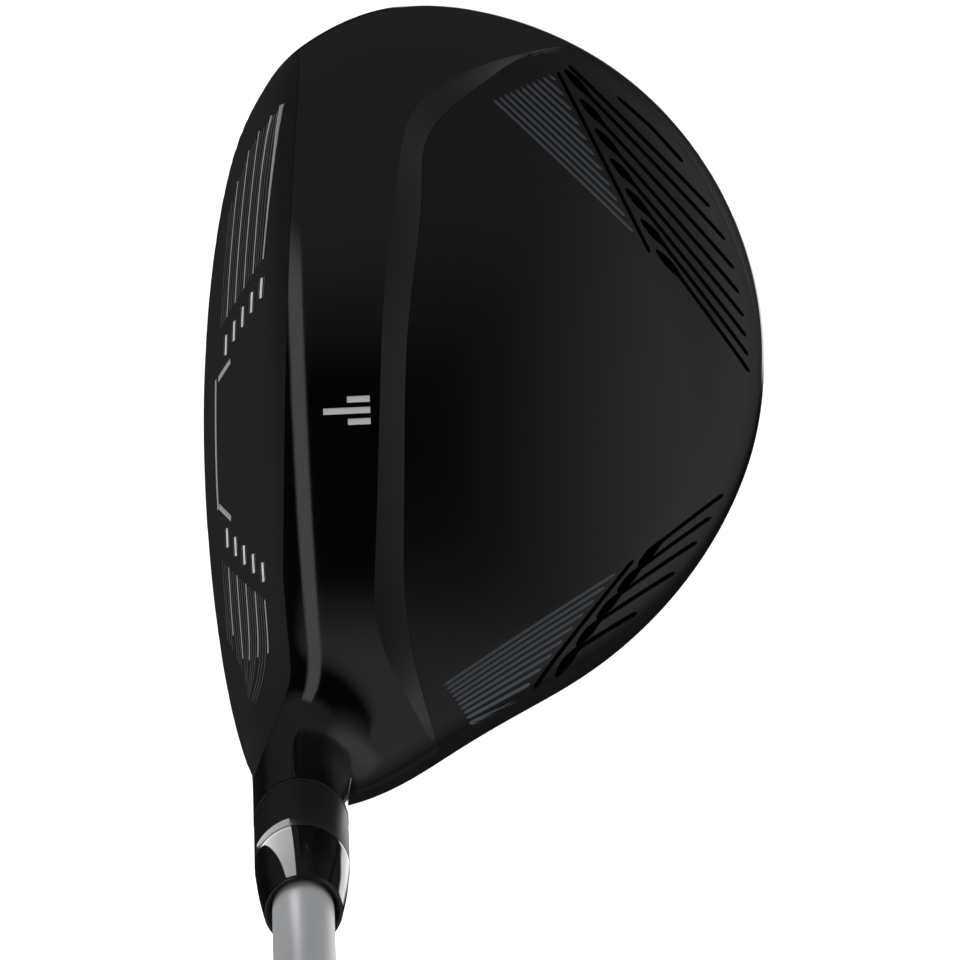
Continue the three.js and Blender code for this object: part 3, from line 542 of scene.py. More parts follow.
def net(field, low, high, step):
    """The field's zero surface as points and outward triangles on a regular net, by surface nets."""
    axes = [np.arange(low[k], high[k] + step, step) for k in range(3)]
    grid = np.stack(np.meshgrid(*axes, indexing="ij"), -1)
    value = field(grid.reshape(-1, 3)).reshape(grid.shape[:3])
    inside = value < 0
    corners = [(i, j, k) for i in (0, 1) for j in (0, 1) for k in (0, 1)]
    sizes = [n - 1 for n in value.shape]

    def window(array, corner):
        return array[tuple(slice(c, c + n) for c, n in zip(corner, sizes))]

    count = sum(window(inside, corner).astype(int) for corner in corners)
    cells = (count > 0) & (count < 8)
    number = -np.ones(cells.shape, int)
    number[cells] = np.arange(cells.sum())
    total = np.zeros((cells.sum(), 3))
    crossings = np.zeros(cells.sum())
    for a in corners:
        for b in corners:
            if sum(b) - sum(a) != 1 or any(q < p for p, q in zip(a, b)):
                continue
            start, end = window(value, a)[cells], window(value, b)[cells]
            crossed = (start < 0) != (end < 0)
            share = np.where(crossed, start / np.where(crossed, start - end, 1), 0)
            spot = np.array(a) + (np.array(b) - np.array(a)) * share[:, None]
            total += np.where(crossed[:, None], spot, 0)
            crossings += crossed
    points = grid[:-1, :-1, :-1][cells] + total / crossings[:, None] * step
    triangles = []
    for d in range(3):
        u, v = (d + 1) % 3, (d + 2) % 3
        front = np.take(inside, range(0, inside.shape[d] - 1), axis=d)
        back = np.take(inside, range(1, inside.shape[d]), axis=d)
        spots = np.argwhere(front != back)
        ok = (spots[:, u] > 0) & (spots[:, v] > 0)
        ok &= (spots[:, u] < number.shape[u]) & (spots[:, v] < number.shape[v])
        spots = spots[ok]
        leaving = front[tuple(spots.T)]
        ring = []
        for du, dv in ((1, 1), (0, 1), (0, 0), (1, 0)):
            cell = spots.copy()
            cell[:, u] -= du
            cell[:, v] -= dv
            ring.append(number[tuple(cell.T)])
        quads = np.stack(ring, 1)
        quads[~leaving] = quads[~leaving][:, ::-1]
        triangles += [quads[:, [0, 1, 2]], quads[:, [0, 2, 3]]]
    return points, np.concatenate(triangles)


# a point this near a cut, in millimetres, lies on it
ON_LINE = 0.01


def cut_along(points, triangles, scalar):
    """Splits the triangles that a scalar's zero line crosses, so that the line runs along edges."""
    value = scalar(points)
    value = np.where(np.abs(value) < ON_LINE, 0.0, value)
    side = np.sign(value).astype(int)
    edges = np.concatenate([triangles[:, [0, 1]], triangles[:, [1, 2]], triangles[:, [2, 0]]])
    edges = np.sort(edges, axis=1)
    edges = np.unique(edges[side[edges[:, 0]] * side[edges[:, 1]] < 0], axis=0)
    share = value[edges[:, 0]] / (value[edges[:, 0]] - value[edges[:, 1]])
    fresh = points[edges[:, 0]] + (points[edges[:, 1]] - points[edges[:, 0]]) * share[:, None]
    total = len(points)
    keys = edges[:, 0] * total + edges[:, 1]

    def middle(a, b):
        return total + np.searchsorted(keys, np.minimum(a, b) * total + np.maximum(a, b))

    corner = side[triangles]
    crossed = np.stack([corner[:, i] * corner[:, (i + 1) % 3] < 0 for i in range(3)], 1)
    crossings = crossed.sum(1)
    kept = [triangles[crossings == 0]]
    for i in range(3):
        a, b, c = (triangles[:, (i + k) % 3] for k in range(3))
        # corner a lies alone on its side
        alone = (crossings == 2) & crossed[:, i] & crossed[:, (i + 2) % 3]
        p, q, r = a[alone], b[alone], c[alone]
        pq, pr = middle(p, q), middle(p, r)
        kept += [np.stack([p, pq, pr], 1), np.stack([pq, q, r], 1), np.stack([pq, r, pr], 1)]
        # corner a lies on the line
        split = (crossings == 1) & crossed[:, (i + 1) % 3]
        p, q, r = a[split], b[split], c[split]
        qr = middle(q, r)
        kept += [np.stack([p, q, qr], 1), np.stack([p, qr, r], 1)]
    return np.concatenate([points, fresh]), np.concatenate(kept)


def in_band(points, edge):
    """Distance behind one of the band's edges."""
    back, slope = edge(points[:, 1])
    return (points[:, 0] - back) / np.sqrt(1 + slope ** 2)


def above_rim(points):
    """Height above the line where the crown panel ends at the sides."""
    return points[:, 2] - (SKIRT_HEIGHT + SKIRT_SLOPE * points[:, 0] + PANEL_RIM)


def face_edge(points):
    """Negative on the face plate: a strip behind the face, cut off before the neck and at the low toe."""
    x, y, z = points.T
    behind = -before_face(points) - FACE_DEPTH - FACE_DEPTH_FALL * np.maximum(y, FACE_DEPTH_FROM)
    heel = (x - FACE_HEEL[0]) * FACE_HEEL_OUT[0] + (y - FACE_HEEL[1]) * FACE_HEEL_OUT[1]
    low_toe = FACE_LOW + FACE_LOW_CURVE * np.maximum(y - FACE_LOW_FROM, 0) ** 2 - z
    return joined(joined(behind, heel, FACE_CORNER), low_toe, FACE_CORNER)


def ramp(points, label):
    """How far down the band's slope a point lies, from 0 on the front strip to 1 on the panel."""
    if label == "body":
        return np.zeros(len(points))
    front = in_band(points, band_front)
    share = front / np.maximum(front - in_band(points, band_rear), NARROWEST_BAND)
    return share if label == "band" else np.clip(share, 0, 1)


def lowered_by(points, label, step):
    """How far the crown is lowered at each point."""
    rise = np.clip(above_rim(points) / PANEL_FADE, 0, 1)
    return step * ramp(points, label) * rise * rise * (3 - 2 * rise)


# ---------- meshes ----------
def corner_normals(mesh):
    """The mesh's own corner normals."""
    values = np.empty(len(mesh.loops) * 3, np.float32)
    mesh.corner_normals.foreach_get("vector", values)
    return values.reshape(-1, 3)


def new_mesh(points, faces, normals=None):
    """A mesh from points in millimetres, with smooth faces and, where given, a normal for each corner."""
    mesh = bpy.data.meshes.new("mesh")
    mesh.from_pydata((np.asarray(points) * MM).tolist(), [], [list(map(int, face)) for face in faces])
    mesh.polygons.foreach_set("use_smooth", [True] * len(mesh.polygons))
    if normals is not None:
        mesh.normals_split_custom_set(np.asarray(normals, float).tolist())
    return mesh


def merged(meshes):
    """Several meshes as one. Each part keeps its corner normals and its finishes."""
    points, faces, normals, finishes = [], [], [], []
    start = 0
    for mesh in meshes:
        spots = np.empty(len(mesh.vertices) * 3, np.float32)
        mesh.vertices.foreach_get("co", spots)
        points.append(spots.reshape(-1, 3) / MM)
        faces += [[v + start for v in polygon.vertices] for polygon in mesh.polygons]
        finishes += [polygon.material_index for polygon in mesh.polygons]
        normals.append(corner_normals(mesh))
        start += len(mesh.vertices)
    result = new_mesh(np.concatenate(points), faces, np.concatenate(normals))
    result.polygons.foreach_set("material_index", finishes)
    for mesh in meshes:
        bpy.data.meshes.remove(mesh)
    return result


def repainted(mesh, finish_number):
    """The mesh with all its faces in one finish."""
    mesh.polygons.foreach_set("material_index", [finish_number] * len(mesh.polygons))
    return mesh


def piece(name, mesh, materials, body, slot, *nodes):
    """Shows a mesh as a finished piece that rides on a body and stands for some CAD nodes."""
    mesh.name = name
    mesh.materials.clear()
    for material in materials:
        mesh.materials.append(material)
    shown = bpy.data.objects.new(name, mesh)
    bpy.context.scene.collection.objects.link(shown)
    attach(shown, body)
    if nodes:
        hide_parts(*nodes)
    return shown


def open_edges(triangles):
    """The edges that only one triangle uses, in that triangle's direction."""
    edges = np.concatenate([triangles[:, [0, 1]], triangles[:, [1, 2]], triangles[:, [2, 0]]])
    _, first, count = np.unique(np.sort(edges, axis=1), axis=0, return_index=True, return_counts=True)
    return edges[first[count == 1]]


# how near to a drill's cylinder an edge lies, and the least share of the wall that goes down its axis
DRILL_REACH = 0.03
DRILL_LEAN = 0.5


def shell(points, triangles, base_normals, normals, wall, sink=0.0, drills=()):
    """A patch of surface with a wall behind it. normals holds one normal for each triangle corner.

    A drill is a (place, radius) pair: edges on that cylinder go straight down its axis.
    """
    used = np.unique(triangles)
    renumber = -np.ones(len(points), int)
    renumber[used] = np.arange(len(used))
    triangles = renumber[triangles]
    outer = points[used] - base_normals[used] * sink
    inward = -base_normals[used]
    for place, radius in drills:
        near = np.abs(along(points[used], place)[1] - radius) < DRILL_REACH
        near &= np.abs(inward @ place[:3, 2]) > DRILL_LEAN
        axis = place[:3, 2]
        lean = inward[near] @ axis
        inward[near] = axis / lean[:, None]
    inner = outer + inward * (wall[used, None] if np.ndim(wall) else wall)
    rim = open_edges(triangles)
    count = len(used)
    walls = np.concatenate([
        np.stack([rim[:, 1], rim[:, 0], rim[:, 0] + count], 1),
        np.stack([rim[:, 1], rim[:, 0] + count, rim[:, 1] + count], 1),
    ])
    spots = np.concatenate([outer, inner])
    edges = spots[walls]
    flat = unit(np.cross(edges[:, 1] - edges[:, 0], edges[:, 2] - edges[:, 0]))
    faces = np.concatenate([triangles, triangles[:, ::-1] + count, walls])
    corners = np.concatenate([
        normals.reshape(-1, 3), -normals[:, ::-1].reshape(-1, 3), np.repeat(flat, 3, axis=0),
    ])
    return new_mesh(spots, faces, corners)


def rounded(profile, steps=5):
    """A (radius, height) outline whose corners are rounded by their third number, in millimetres."""
    result = []
    count = len(profile)
    for i, corner in enumerate(profile):
        spot = np.array(corner[:2], float)
        lobe = corner[3] if len(corner) > 3 else 0.0
        reach_mm = corner[2] if len(corner) > 2 else 0.0
        before = np.array(profile[i - 1][:2], float) - spot
        after = np.array(profile[(i + 1) % count][:2], float) - spot
        room = min(np.linalg.norm(before), np.linalg.norm(after)) * 0.49
        if reach_mm <= 0 or room <= 0:
            result.append((*spot, lobe))
            continue
        reach_mm = min(reach_mm, room)
        start = spot + before / np.linalg.norm(before) * reach_mm
        end = spot + after / np.linalg.norm(after) * reach_mm
        for k in range(steps + 1):
            t = k / steps
            on = start * (1 - t) ** 2 + spot * 2 * t * (1 - t) + end * t ** 2
            result.append((*on, lobe))
    return result


def turned(profile, place, segments=96, sharp=32, thread=None, trim=None):
    """A closed outline turned round an axis. Its points are (radius, height, rounding, six-lobed share).

    thread is (pitch, depth, from, to); trim(points) may move the points before they are placed.
    """
    outline_points = rounded(profile)
    angles = np.arange(segments) * 2 * math.pi / segments
    points, rings, faces = [], [], []
    for radius, height, lobe in outline_points:
        if radius < 1e-6:
            rings.append([len(points)])
            points.append((0.0, 0.0, height))
            continue
        reach_mm = radius * (1 + lobe * (np.cos(6 * angles) - 1))
        if thread and thread[2] <= height <= thread[3]:
            turn = (height / thread[0] - angles / (2 * math.pi)) % 1
            reach_mm = reach_mm - thread[1] * np.abs(2 * turn - 1)
        rings.append(list(range(len(points), len(points) + segments)))
        points += list(zip(reach_mm * np.cos(angles), reach_mm * np.sin(angles), [height] * segments))
    for i, ring in enumerate(rings):
        other = rings[(i + 1) % len(rings)]
        if len(ring) == 1 and len(other) == 1:
            continue
        for k in range(segments):
            m = (k + 1) % segments
            a, b = ring[k % len(ring)], ring[m % len(ring)]
            c, d = other[m % len(other)], other[k % len(other)]
            faces.append([a, b, c, d] if a != b and c != d else ([a, c, d] if a == b else [a, b, c]))
    points = np.array(points, float)
    if trim is not None:
        points = trim(points)
    mesh = new_mesh(points @ place[:3, :3].T + place[:3, 3], faces)
    if volume(mesh) < 0:
        mesh.flip_normals()
    mesh.set_sharp_from_angle(angle=math.radians(sharp))
    return mesh


def volume(mesh):
    """The mesh's signed volume: positive when its faces point out."""
    total = 0.0
    mesh.calc_loop_triangles()
    for triangle in mesh.loop_triangles:
        a, b, c = (mesh.vertices[v].co for v in triangle.vertices)
        total += a.dot(b.cross(c))
    return total


# ---------- geometry node trees ----------
def node_group(name, sockets):
    """An empty geometry tree. Returns it, its input node and the identifiers of its inputs."""
    tree = bpy.data.node_groups.new(name, "GeometryNodeTree")
    tree.interface.new_socket("Geometry", in_out="OUTPUT", socket_type="NodeSocketGeometry")
    tree.interface.new_socket("Geometry", in_out="INPUT", socket_type="NodeSocketGeometry")
    names = {}
    for label, kind in sockets.items():
        socket = tree.interface.new_socket(label, in_out="INPUT", socket_type="NodeSocket" + kind)
        names[label] = socket.identifier
    return tree, add(tree, "NodeGroupInput").outputs, names


def close_tree(tree, geometry, material):
    """Ends a tree in real geometry with its finish."""
    real = add(tree, "GeometryNodeRealizeInstances", {"Geometry": geometry})
    dressed = add(tree, "GeometryNodeSetMaterial", {"Geometry": real, "Material": material})
    add(tree, "NodeGroupOutput", {"Geometry": dressed})


MATH = "ShaderNodeMath"
VECTOR_MATH = "ShaderNodeVectorMath"
# share of a line's thick head over which it swells, and over which it thins again
HEAD_SLOPE = 0.42
# points across a strip, so that it bends with the surface under it
STRIP_POINTS = 4
RAY_LENGTH = 1.0
WELD = 1e-6


def strip_tree():
    """Turns guide lines drawn flat into thin strips laid on a surface along a direction."""
    tree, given, names = node_group("surface_strips", {
        "Surface": "Object", "Width": "Float", "Head width": "Float", "Head length": "Float",
        "Step": "Float", "Lift": "Float", "Thickness": "Float", "Turn": "Vector", "End share": "Float",
        "Start": "Vector", "Direction": "Vector", "Finish": "Material",
    })
    lines = add(tree, "GeometryNodeMeshToCurve", {"Mesh": given["Geometry"]})
    fine = add(tree, "GeometryNodeResampleCurve", {"Curve": lines, "Length": given["Step"]}, mode="LENGTH")
    level = add(tree, "GeometryNodeSetCurveNormal", {"Curve": fine}, mode="Z_UP")
    done = add(tree, "GeometryNodeSplineParameter").outputs["Length"]
    whole = add(tree, "GeometryNodeSplineLength").outputs["Length"]
    # the width swells into the thick head and out of it again
    share = add(tree, MATH, {0: done, 1: given["Head length"]}, operation="DIVIDE")
    rise = add(tree, MATH, {0: share, 1: HEAD_SLOPE}, operation="DIVIDE", use_clamp=True)
    rest = add(tree, MATH, {0: 1.0, 1: share}, operation="SUBTRACT")
    fall = add(tree, MATH, {0: rest, 1: HEAD_SLOPE}, operation="DIVIDE", use_clamp=True)
    head = add(tree, MATH, {0: rise, 1: fall}, operation="MINIMUM")
    extra = add(tree, MATH, {0: given["Head width"], 1: given["Width"]}, operation="SUBTRACT")
    broad = add(tree, MATH, {0: head, 1: extra, 2: given["Width"]}, operation="MULTIPLY_ADD")
    # and narrows to a share of itself at both ends
    left = add(tree, MATH, {0: whole, 1: done}, operation="SUBTRACT")
    nearest_end = add(tree, MATH, {0: left, 1: done}, operation="MINIMUM")
    point = add(tree, MATH, {0: nearest_end, 1: given["Width"]}, operation="DIVIDE")
    taper = add(tree, MATH, {0: point, 1: given["End share"]}, operation="ADD", use_clamp=True)
    across = add(tree, MATH, {0: broad, 1: taper}, operation="MULTIPLY")
    bar = add(tree, "GeometryNodeCurvePrimitiveLine", {"Start": (-0.5, 0, 0), "End": (0.5, 0, 0)})
    profile = add(tree, "GeometryNodeResampleCurve", {"Curve": bar, "Count": STRIP_POINTS}, mode="COUNT")
    flat = add(tree, "GeometryNodeCurveToMesh", {"Curve": level, "Profile Curve": profile, "Scale": across})
    rotation = add(tree, "FunctionNodeEulerToRotation", {0: given["Turn"]})
    turn = add(tree, "GeometryNodeTransform", {
        "Geometry": flat, "Translation": given["Start"], "Rotation": rotation,
    })
    target = add(tree, "GeometryNodeObjectInfo", {"Object": given["Surface"]})
    ray = add(tree, "GeometryNodeRaycast", {
        "Target Geometry": target.outputs["Geometry"], "Ray Direction": given["Direction"],
        "Ray Length": RAY_LENGTH,
    })
    back = add(tree, VECTOR_MATH, {"Vector": given["Direction"], "Scale": -1.0}, operation="SCALE")
    lift = add(tree, VECTOR_MATH, {"Vector": back, "Scale": given["Lift"]}, operation="SCALE")
    spot = add(tree, VECTOR_MATH, {0: ray.outputs["Hit Position"], 1: lift}, operation="ADD")
    # a face goes when any of its corners misses the surface
    hits = add(tree, "GeometryNodeFieldOnDomain", {"Value": ray.outputs["Is Hit"]}, domain="POINT",
               data_type="BOOLEAN")
    missed = add(tree, "FunctionNodeBooleanMath", {0: hits}, operation="NOT")
    kept = add(tree, "GeometryNodeDeleteGeometry", {"Geometry": turn, "Selection": missed}, domain="FACE")
    laid = add(tree, "GeometryNodeSetPosition", {"Geometry": kept, "Position": spot})
    top = add(tree, "GeometryNodeExtrudeMesh", {
        "Mesh": laid, "Offset": back, "Offset Scale": given["Thickness"], "Individual": False,
    })
    under = add(tree, "GeometryNodeFlipFaces", {"Mesh": laid})
    both = add(tree, "GeometryNodeJoinGeometry", {0: top})
    tree.links.new(under.outputs[0], both.inputs[0])
    closed = add(tree, "GeometryNodeMergeByDistance", {"Geometry": both, "Distance": WELD})
    close_tree(tree, closed, given["Finish"])
    return tree, names


def teeth_tree():
    """A ring of equal blocks round +Z, each turned to face outwards."""
    tree, given, names = node_group("ring_of_teeth", {
        "Count": "Int", "Radius": "Float", "Block": "Vector", "Height": "Float", "Finish": "Material",
    })
    ring = add(tree, "GeometryNodeMeshCircle", {"Vertices": given["Count"], "Radius": given["Radius"]})
    block = add(tree, "GeometryNodeMeshCube", {"Size": given["Block"]})
    place = add(tree, "GeometryNodeInputPosition")
    face_out = add(tree, "FunctionNodeAlignRotationToVector", {"Vector": place}, axis="X")
    blocks = add(tree, "GeometryNodeInstanceOnPoints", {
        "Points": ring, "Instance": block, "Rotation": face_out,
    })
    up = add(tree, "ShaderNodeCombineXYZ", {"Z": given["Height"]})
    raised = add(tree, "GeometryNodeTransform", {"Geometry": blocks, "Translation": up})
    close_tree(tree, raised, given["Finish"])
    return tree, names


# how far out the rays that place the grip's diamonds start and how far they go, in metres
RAY_START = 0.05
RAY_REACH = 0.1
# a diamond's flat top as a share of its foot
DIAMOND_TOP = 0.6


def grip_tree():
    """Low diamonds in staggered rings, dropped on a turned surface round +Z."""
    tree, given, names = node_group("grip_diamonds", {
        "Surface": "Object", "Rows": "Int", "Columns": "Int", "From": "Float", "Pitch": "Float",
        "Diamond": "Float", "Height": "Float", "Finish": "Material",
    })
    count = add(tree, MATH, {0: given["Rows"], 1: given["Columns"]}, operation="MULTIPLY")
    cloud = add(tree, "GeometryNodeMeshLine", {"Count": count, "Offset": (0, 0, 0)})
    index = add(tree, "GeometryNodeInputIndex")
    # half a diamond more keeps the division clear of its whole numbers
    middle = add(tree, MATH, {0: index, 1: 0.5}, operation="ADD")
    turns = add(tree, MATH, {0: middle, 1: given["Columns"]}, operation="DIVIDE")
    row = add(tree, MATH, {0: turns}, operation="FLOOR")
    odd = add(tree, MATH, {0: row, 1: 2.0}, operation="MODULO")
    stagger = add(tree, MATH, {0: odd, 1: 0.5}, operation="MULTIPLY")
    column = add(tree, MATH, {0: index, 1: stagger}, operation="ADD")
    share = add(tree, MATH, {0: column, 1: given["Columns"]}, operation="DIVIDE")
    angle = add(tree, MATH, {0: share, 1: 2 * math.pi}, operation="MULTIPLY")
    cosine = add(tree, MATH, {0: angle}, operation="COSINE")
    sine = add(tree, MATH, {0: angle}, operation="SINE")
    out = add(tree, "ShaderNodeCombineXYZ", {"X": cosine, "Y": sine})
    away = add(tree, VECTOR_MATH, {"Vector": out, "Scale": RAY_START}, operation="SCALE")
    height = add(tree, MATH, {0: row, 1: given["Pitch"], 2: given["From"]}, operation="MULTIPLY_ADD")
    lift = add(tree, "ShaderNodeCombineXYZ", {"Z": height})
    spot = add(tree, VECTOR_MATH, {0: away, 1: lift}, operation="ADD")
    inwards = add(tree, VECTOR_MATH, {"Vector": out, "Scale": -1.0}, operation="SCALE")
    target = add(tree, "GeometryNodeObjectInfo", {"Object": given["Surface"]})
    ray = add(tree, "GeometryNodeRaycast", {
        "Target Geometry": target.outputs["Geometry"], "Source Position": spot, "Ray Direction": inwards,
        "Ray Length": RAY_REACH,
    })
    laid = add(tree, "GeometryNodeSetPosition", {"Geometry": cloud, "Position": ray.outputs["Hit Position"]})
    # the way out is worked out from the index, so it is stored before the points become instances
    stored = add(tree, "GeometryNodeStoreNamedAttribute", {"Geometry": laid, "Name": "out", "Value": out},
                 data_type="FLOAT_VECTOR")
    way_out = add(tree, "GeometryNodeInputNamedAttribute", {"Name": "out"}, data_type="FLOAT_VECTOR")
    face_out = add(tree, "FunctionNodeAlignRotationToVector", {"Vector": way_out}, axis="Z")
    flat_top = add(tree, MATH, {0: given["Diamond"], 1: DIAMOND_TOP}, operation="MULTIPLY")
    stud = add(tree, "GeometryNodeMeshCone", {
        "Vertices": 4, "Radius Bottom": given["Diamond"], "Radius Top": flat_top, "Depth": given["Height"],
    })
    studs = add(tree, "GeometryNodeInstanceOnPoints", {
        "Points": stored, "Instance": stud, "Rotation": face_out,
    })
    close_tree(tree, studs, given["Finish"])
    return tree, names


def grown(guide, tree_and_names, **values):
    """Runs a geometry tree on a mesh and returns the result as a plain mesh whose faces point out."""
    tree, names = tree_and_names
    holder = bpy.data.objects.new("guide", guide)
    bpy.context.scene.collection.objects.link(holder)
    modifier = holder.modifiers.new("grow", "NODES")
    modifier.node_group = tree
    for label, value in values.items():
        modifier[names[label.replace("_", " ")]] = value
    bpy.context.view_layer.update()
    evaluated = holder.evaluated_get(bpy.context.evaluated_depsgraph_get())
    mesh = bpy.data.meshes.new_from_object(evaluated)
    holder.modifiers.remove(modifier)
    bpy.data.objects.remove(holder)
    if not len(mesh.polygons):
        raise RuntimeError(f"the tree {tree.name} made nothing")
    if volume(mesh) < 0:
        mesh.flip_normals()
    return mesh


def guide_mesh(lines):
    """Guide lines, as lists of flat (x, y) points in millimetres."""
    points, edges = [], []
    for line in lines:
        start = len(points)
        points += [(x * MM, y * MM, 0.0) for x, y in line]
        edges += [(start + i, start + i + 1) for i in range(len(line) - 1)]
    mesh = bpy.data.meshes.new("guides")
    mesh.from_pydata(points, edges, [])
    return mesh


# ---------- pieces of the head ----------
PIN_GAP = 0.3
FACE_WALL = 2.0
NECK_TOP = WASHER[0] - 0.15
NECK_WALL = 0.85
SCREW = reach("hosel_screw", SHAFT)
SCREW_POCKET = SCREW[2] + 0.6
WEIGHT_REACH = reach("sole_weight", WEIGHT)
WEIGHT_POCKET = WEIGHT_REACH[2] + PIN_GAP
BADGE_WALL = 0.8
BADGE_BACKING = 2.0
BADGE_SLIVER = 0.04
# the badge's blunt point as a share of its length, and its front corners as a share of its breadth
BADGE_POINT = 1 / 7
BADGE_FRONT = 0.72


def badge_corners():
    """The badge's outline on the sole: a wide wedge with a blunt point towards the face."""
    low, high = (np.array(corner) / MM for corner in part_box("sole_badge"))
    middle, half = (low[1] + high[1]) / 2, (high[1] - low[1]) / 2
    front = low[0] + (high[0] - low[0]) * BADGE_POINT
    return [
        (front, middle - half * BADGE_FRONT), (high[0], middle - half), (high[0], middle + half),
        (front, middle + half * BADGE_FRONT), (low[0], middle),
    ]


def outside_badge(points):
    """Distance outside the badge's outline, on the sole only."""
    corners = np.array(badge_corners())
    after = np.roll(corners, -1, axis=0)
    sides = after - corners
    outwards = np.stack([sides[:, 1], -sides[:, 0]], 1) / np.linalg.norm(sides, axis=1)[:, None]
    distances = [(points[:, :2] - corner) @ out for corner, out in zip(corners, outwards)]
    return np.where(points[:, 2] < SKIRT_HEIGHT, np.max(distances, axis=0), BADGE_WALL * 10)


def outside_hole(points, place, radius, low, high):
    """Distance outside a round hole, between two heights on its axis."""
    height, distance = along(points, place)
    return np.where((height > low) & (height < high), distance - radius, radius)


def outside_screw_hole(points):
    """Distance outside the hole that the hosel screw goes through."""
    return outside_hole(points, SHAFT, SCREW_POCKET, -10, NECK_START)


def outside_weight_hole(points):
    """Distance outside the sole weight's hole."""
    return outside_hole(points, WEIGHT, WEIGHT_POCKET, -5, 10)


def on_panel(points):
    """Distance inside the crown panel's edge."""
    return np.minimum(above_rim(points), in_band(points, band_rear))


def behind_front_strip(points):
    """Distance behind the crown's front strip."""
    return np.minimum(above_rim(points), in_band(points, band_front))


def above_neck(points):
    """Height above the neck's top, along the shaft."""
    return along(points, SHAFT)[0] - NECK_TOP


class HeadSurface:
    """The head's fine surface, cut along its seams, with a label for every triangle."""

    def __init__(self, sizes):
        low = np.min([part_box(name)[0] for name in ("head_body", "face_plate")], axis=0) / MM - 2
        high = np.max([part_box(name)[1] for name in ("head_body", "face_plate")], axis=0) / MM + 2
        points, triangles = net(head_field, low, high, in_mm(sizes.fineness))
        for _ in range(3):
            slope = gradient(head_field, points)
            pull = head_field(points) / np.maximum((slope ** 2).sum(1), 0.1)
            points = points - slope * np.clip(pull, -1, 1)[:, None]
        seam = in_mm(sizes.seam)
        half_seam = seam / 2
        cuts = [
            above_neck,
            lambda p: face_edge(p) + half_seam, lambda p: face_edge(p) - half_seam,
            on_panel, lambda p: on_panel(p) - seam, behind_front_strip,
            outside_screw_hole, outside_weight_hole,
            outside_badge, lambda p: outside_badge(p) - PIN_GAP,
            lambda p: outside_badge(p) - BADGE_BACKING,
        ]
        for cut in cuts:
            points, triangles = cut_along(points, triangles, cut)
        self.base = points
        self.triangles = triangles
        self.normals = unit(gradient(head_field, points))
        self.step = in_mm(sizes.step)
        drop = np.where(behind_front_strip(points) > 0, lowered_by(points, "panel", self.step), 0)
        self.points = points - np.stack([0 * drop, 0 * drop, drop], 1)
        middle = points[triangles].mean(1)
        face, panel, badge = face_edge(middle), on_panel(middle), outside_badge(middle)
        gone = above_neck(middle) > 0
        gone |= (outside_screw_hole(middle) < 0) | (outside_weight_hole(middle) < 0)
        self.face = ~gone & (face < -half_seam)
        self.panel = ~gone & (panel > seam)
        # a sliver with a corner out on the gap would leave the badge pinched at a point
        clean = outside_badge(points)[triangles].max(1) < BADGE_SLIVER
        self.badge = ~gone & (badge < ON_LINE) & clean
        self.backing = ~gone & (badge < BADGE_BACKING)
        self.body = ~gone & (face > half_seam) & (panel < 0) & (badge > PIN_GAP)
        self.band = self.body & (behind_front_strip(middle) > 0)

    def corner_normals(self, chosen, label):
        """Normals at the corners of some triangles, tilted by the slope of the lowered crown."""
        triangles = self.triangles[chosen]
        used, inverse = np.unique(triangles, return_inverse=True)
        base = self.normals[used]
        slope = gradient(lambda p: lowered_by(p, label, self.step), self.base[used])
        tilted = unit(base + slope * (base[:, 2:] / (1 - slope[:, 2:])))
        return tilted[inverse.reshape(triangles.shape)]

    def patch(self, chosen, label, wall, sink=0.0):
        """A closed piece from some triangles."""
        drills = ((SHAFT, SCREW_POCKET), (WEIGHT, WEIGHT_POCKET))
        normals = self.corner_normals(chosen, label)
        return shell(self.points, self.triangles[chosen], self.normals, normals, wall, sink, drills)


# the seat wall that the screw pulls against: its start above the screw's foot, its thickness and its bore
SEAT_START = 6.0
SEAT_WALL = 3.0
SEAT_BORE = 2.8
# the plain bore ends, and the splines start, this far above the seat
SPLINE_START = 28.0
SPLINE_CREST = 1.35
SPLINE_ROOT = 0.9


def hosel_tube():
    """The tube inside the hosel: screw pocket, seat wall and splined bore."""
    seat_from = SCREW[0] + SEAT_START
    seat_to = seat_from + SEAT_WALL
    bore, root = WASHER[2] - SPLINE_CREST, WASHER[2] - SPLINE_ROOT
    spline_from = seat_to + SPLINE_START
    top = NECK_TOP - 0.05
    outside = NECK_RADIUS - 0.4
    profile = [
        (SCREW_POCKET, 0), (SCREW_POCKET, seat_from, 0.4), (SEAT_BORE, seat_from), (SEAT_BORE, seat_to, 0.3),
        (bore, seat_to), (bore, spline_from), (root, spline_from), (root, top), (outside, top), (outside, 0),
    ]

    def trimmed(points):
        """Ends the tube inside the sole's wall, whose plane leans against the axis."""
        low = points[:, 2] < 1
        for _ in range(8):
            world = points[low] @ SHAFT[:3, :3].T + SHAFT[:3, 3]
            goal = sole_height(world[:, 0], world[:, 1]) + 0.7
            points[low, 2] += (goal - world[:, 2]) / SHAFT[2, 2]
        return points

    return turned(profile, SHAFT, trim=trimmed)


def lands(fittings, material):
    """The ribs between the splines of the hosel's bore."""
    root = WASHER[2] - SPLINE_ROOT
    land = (0.6, 1.37, 12.4)
    mesh = grown(guide_mesh([]), teeth_tree(), Count=fittings.splines, Radius=(root - 0.15) * MM,
                 Block=Vector(land) * MM, Height=(NECK_TOP - 6.3) * MM, Finish=material)
    half_pitch = Matrix.Rotation(math.pi / fittings.splines, 4, "Z")
    mesh.transform(in_metres(SHAFT) @ half_pitch)
    return mesh


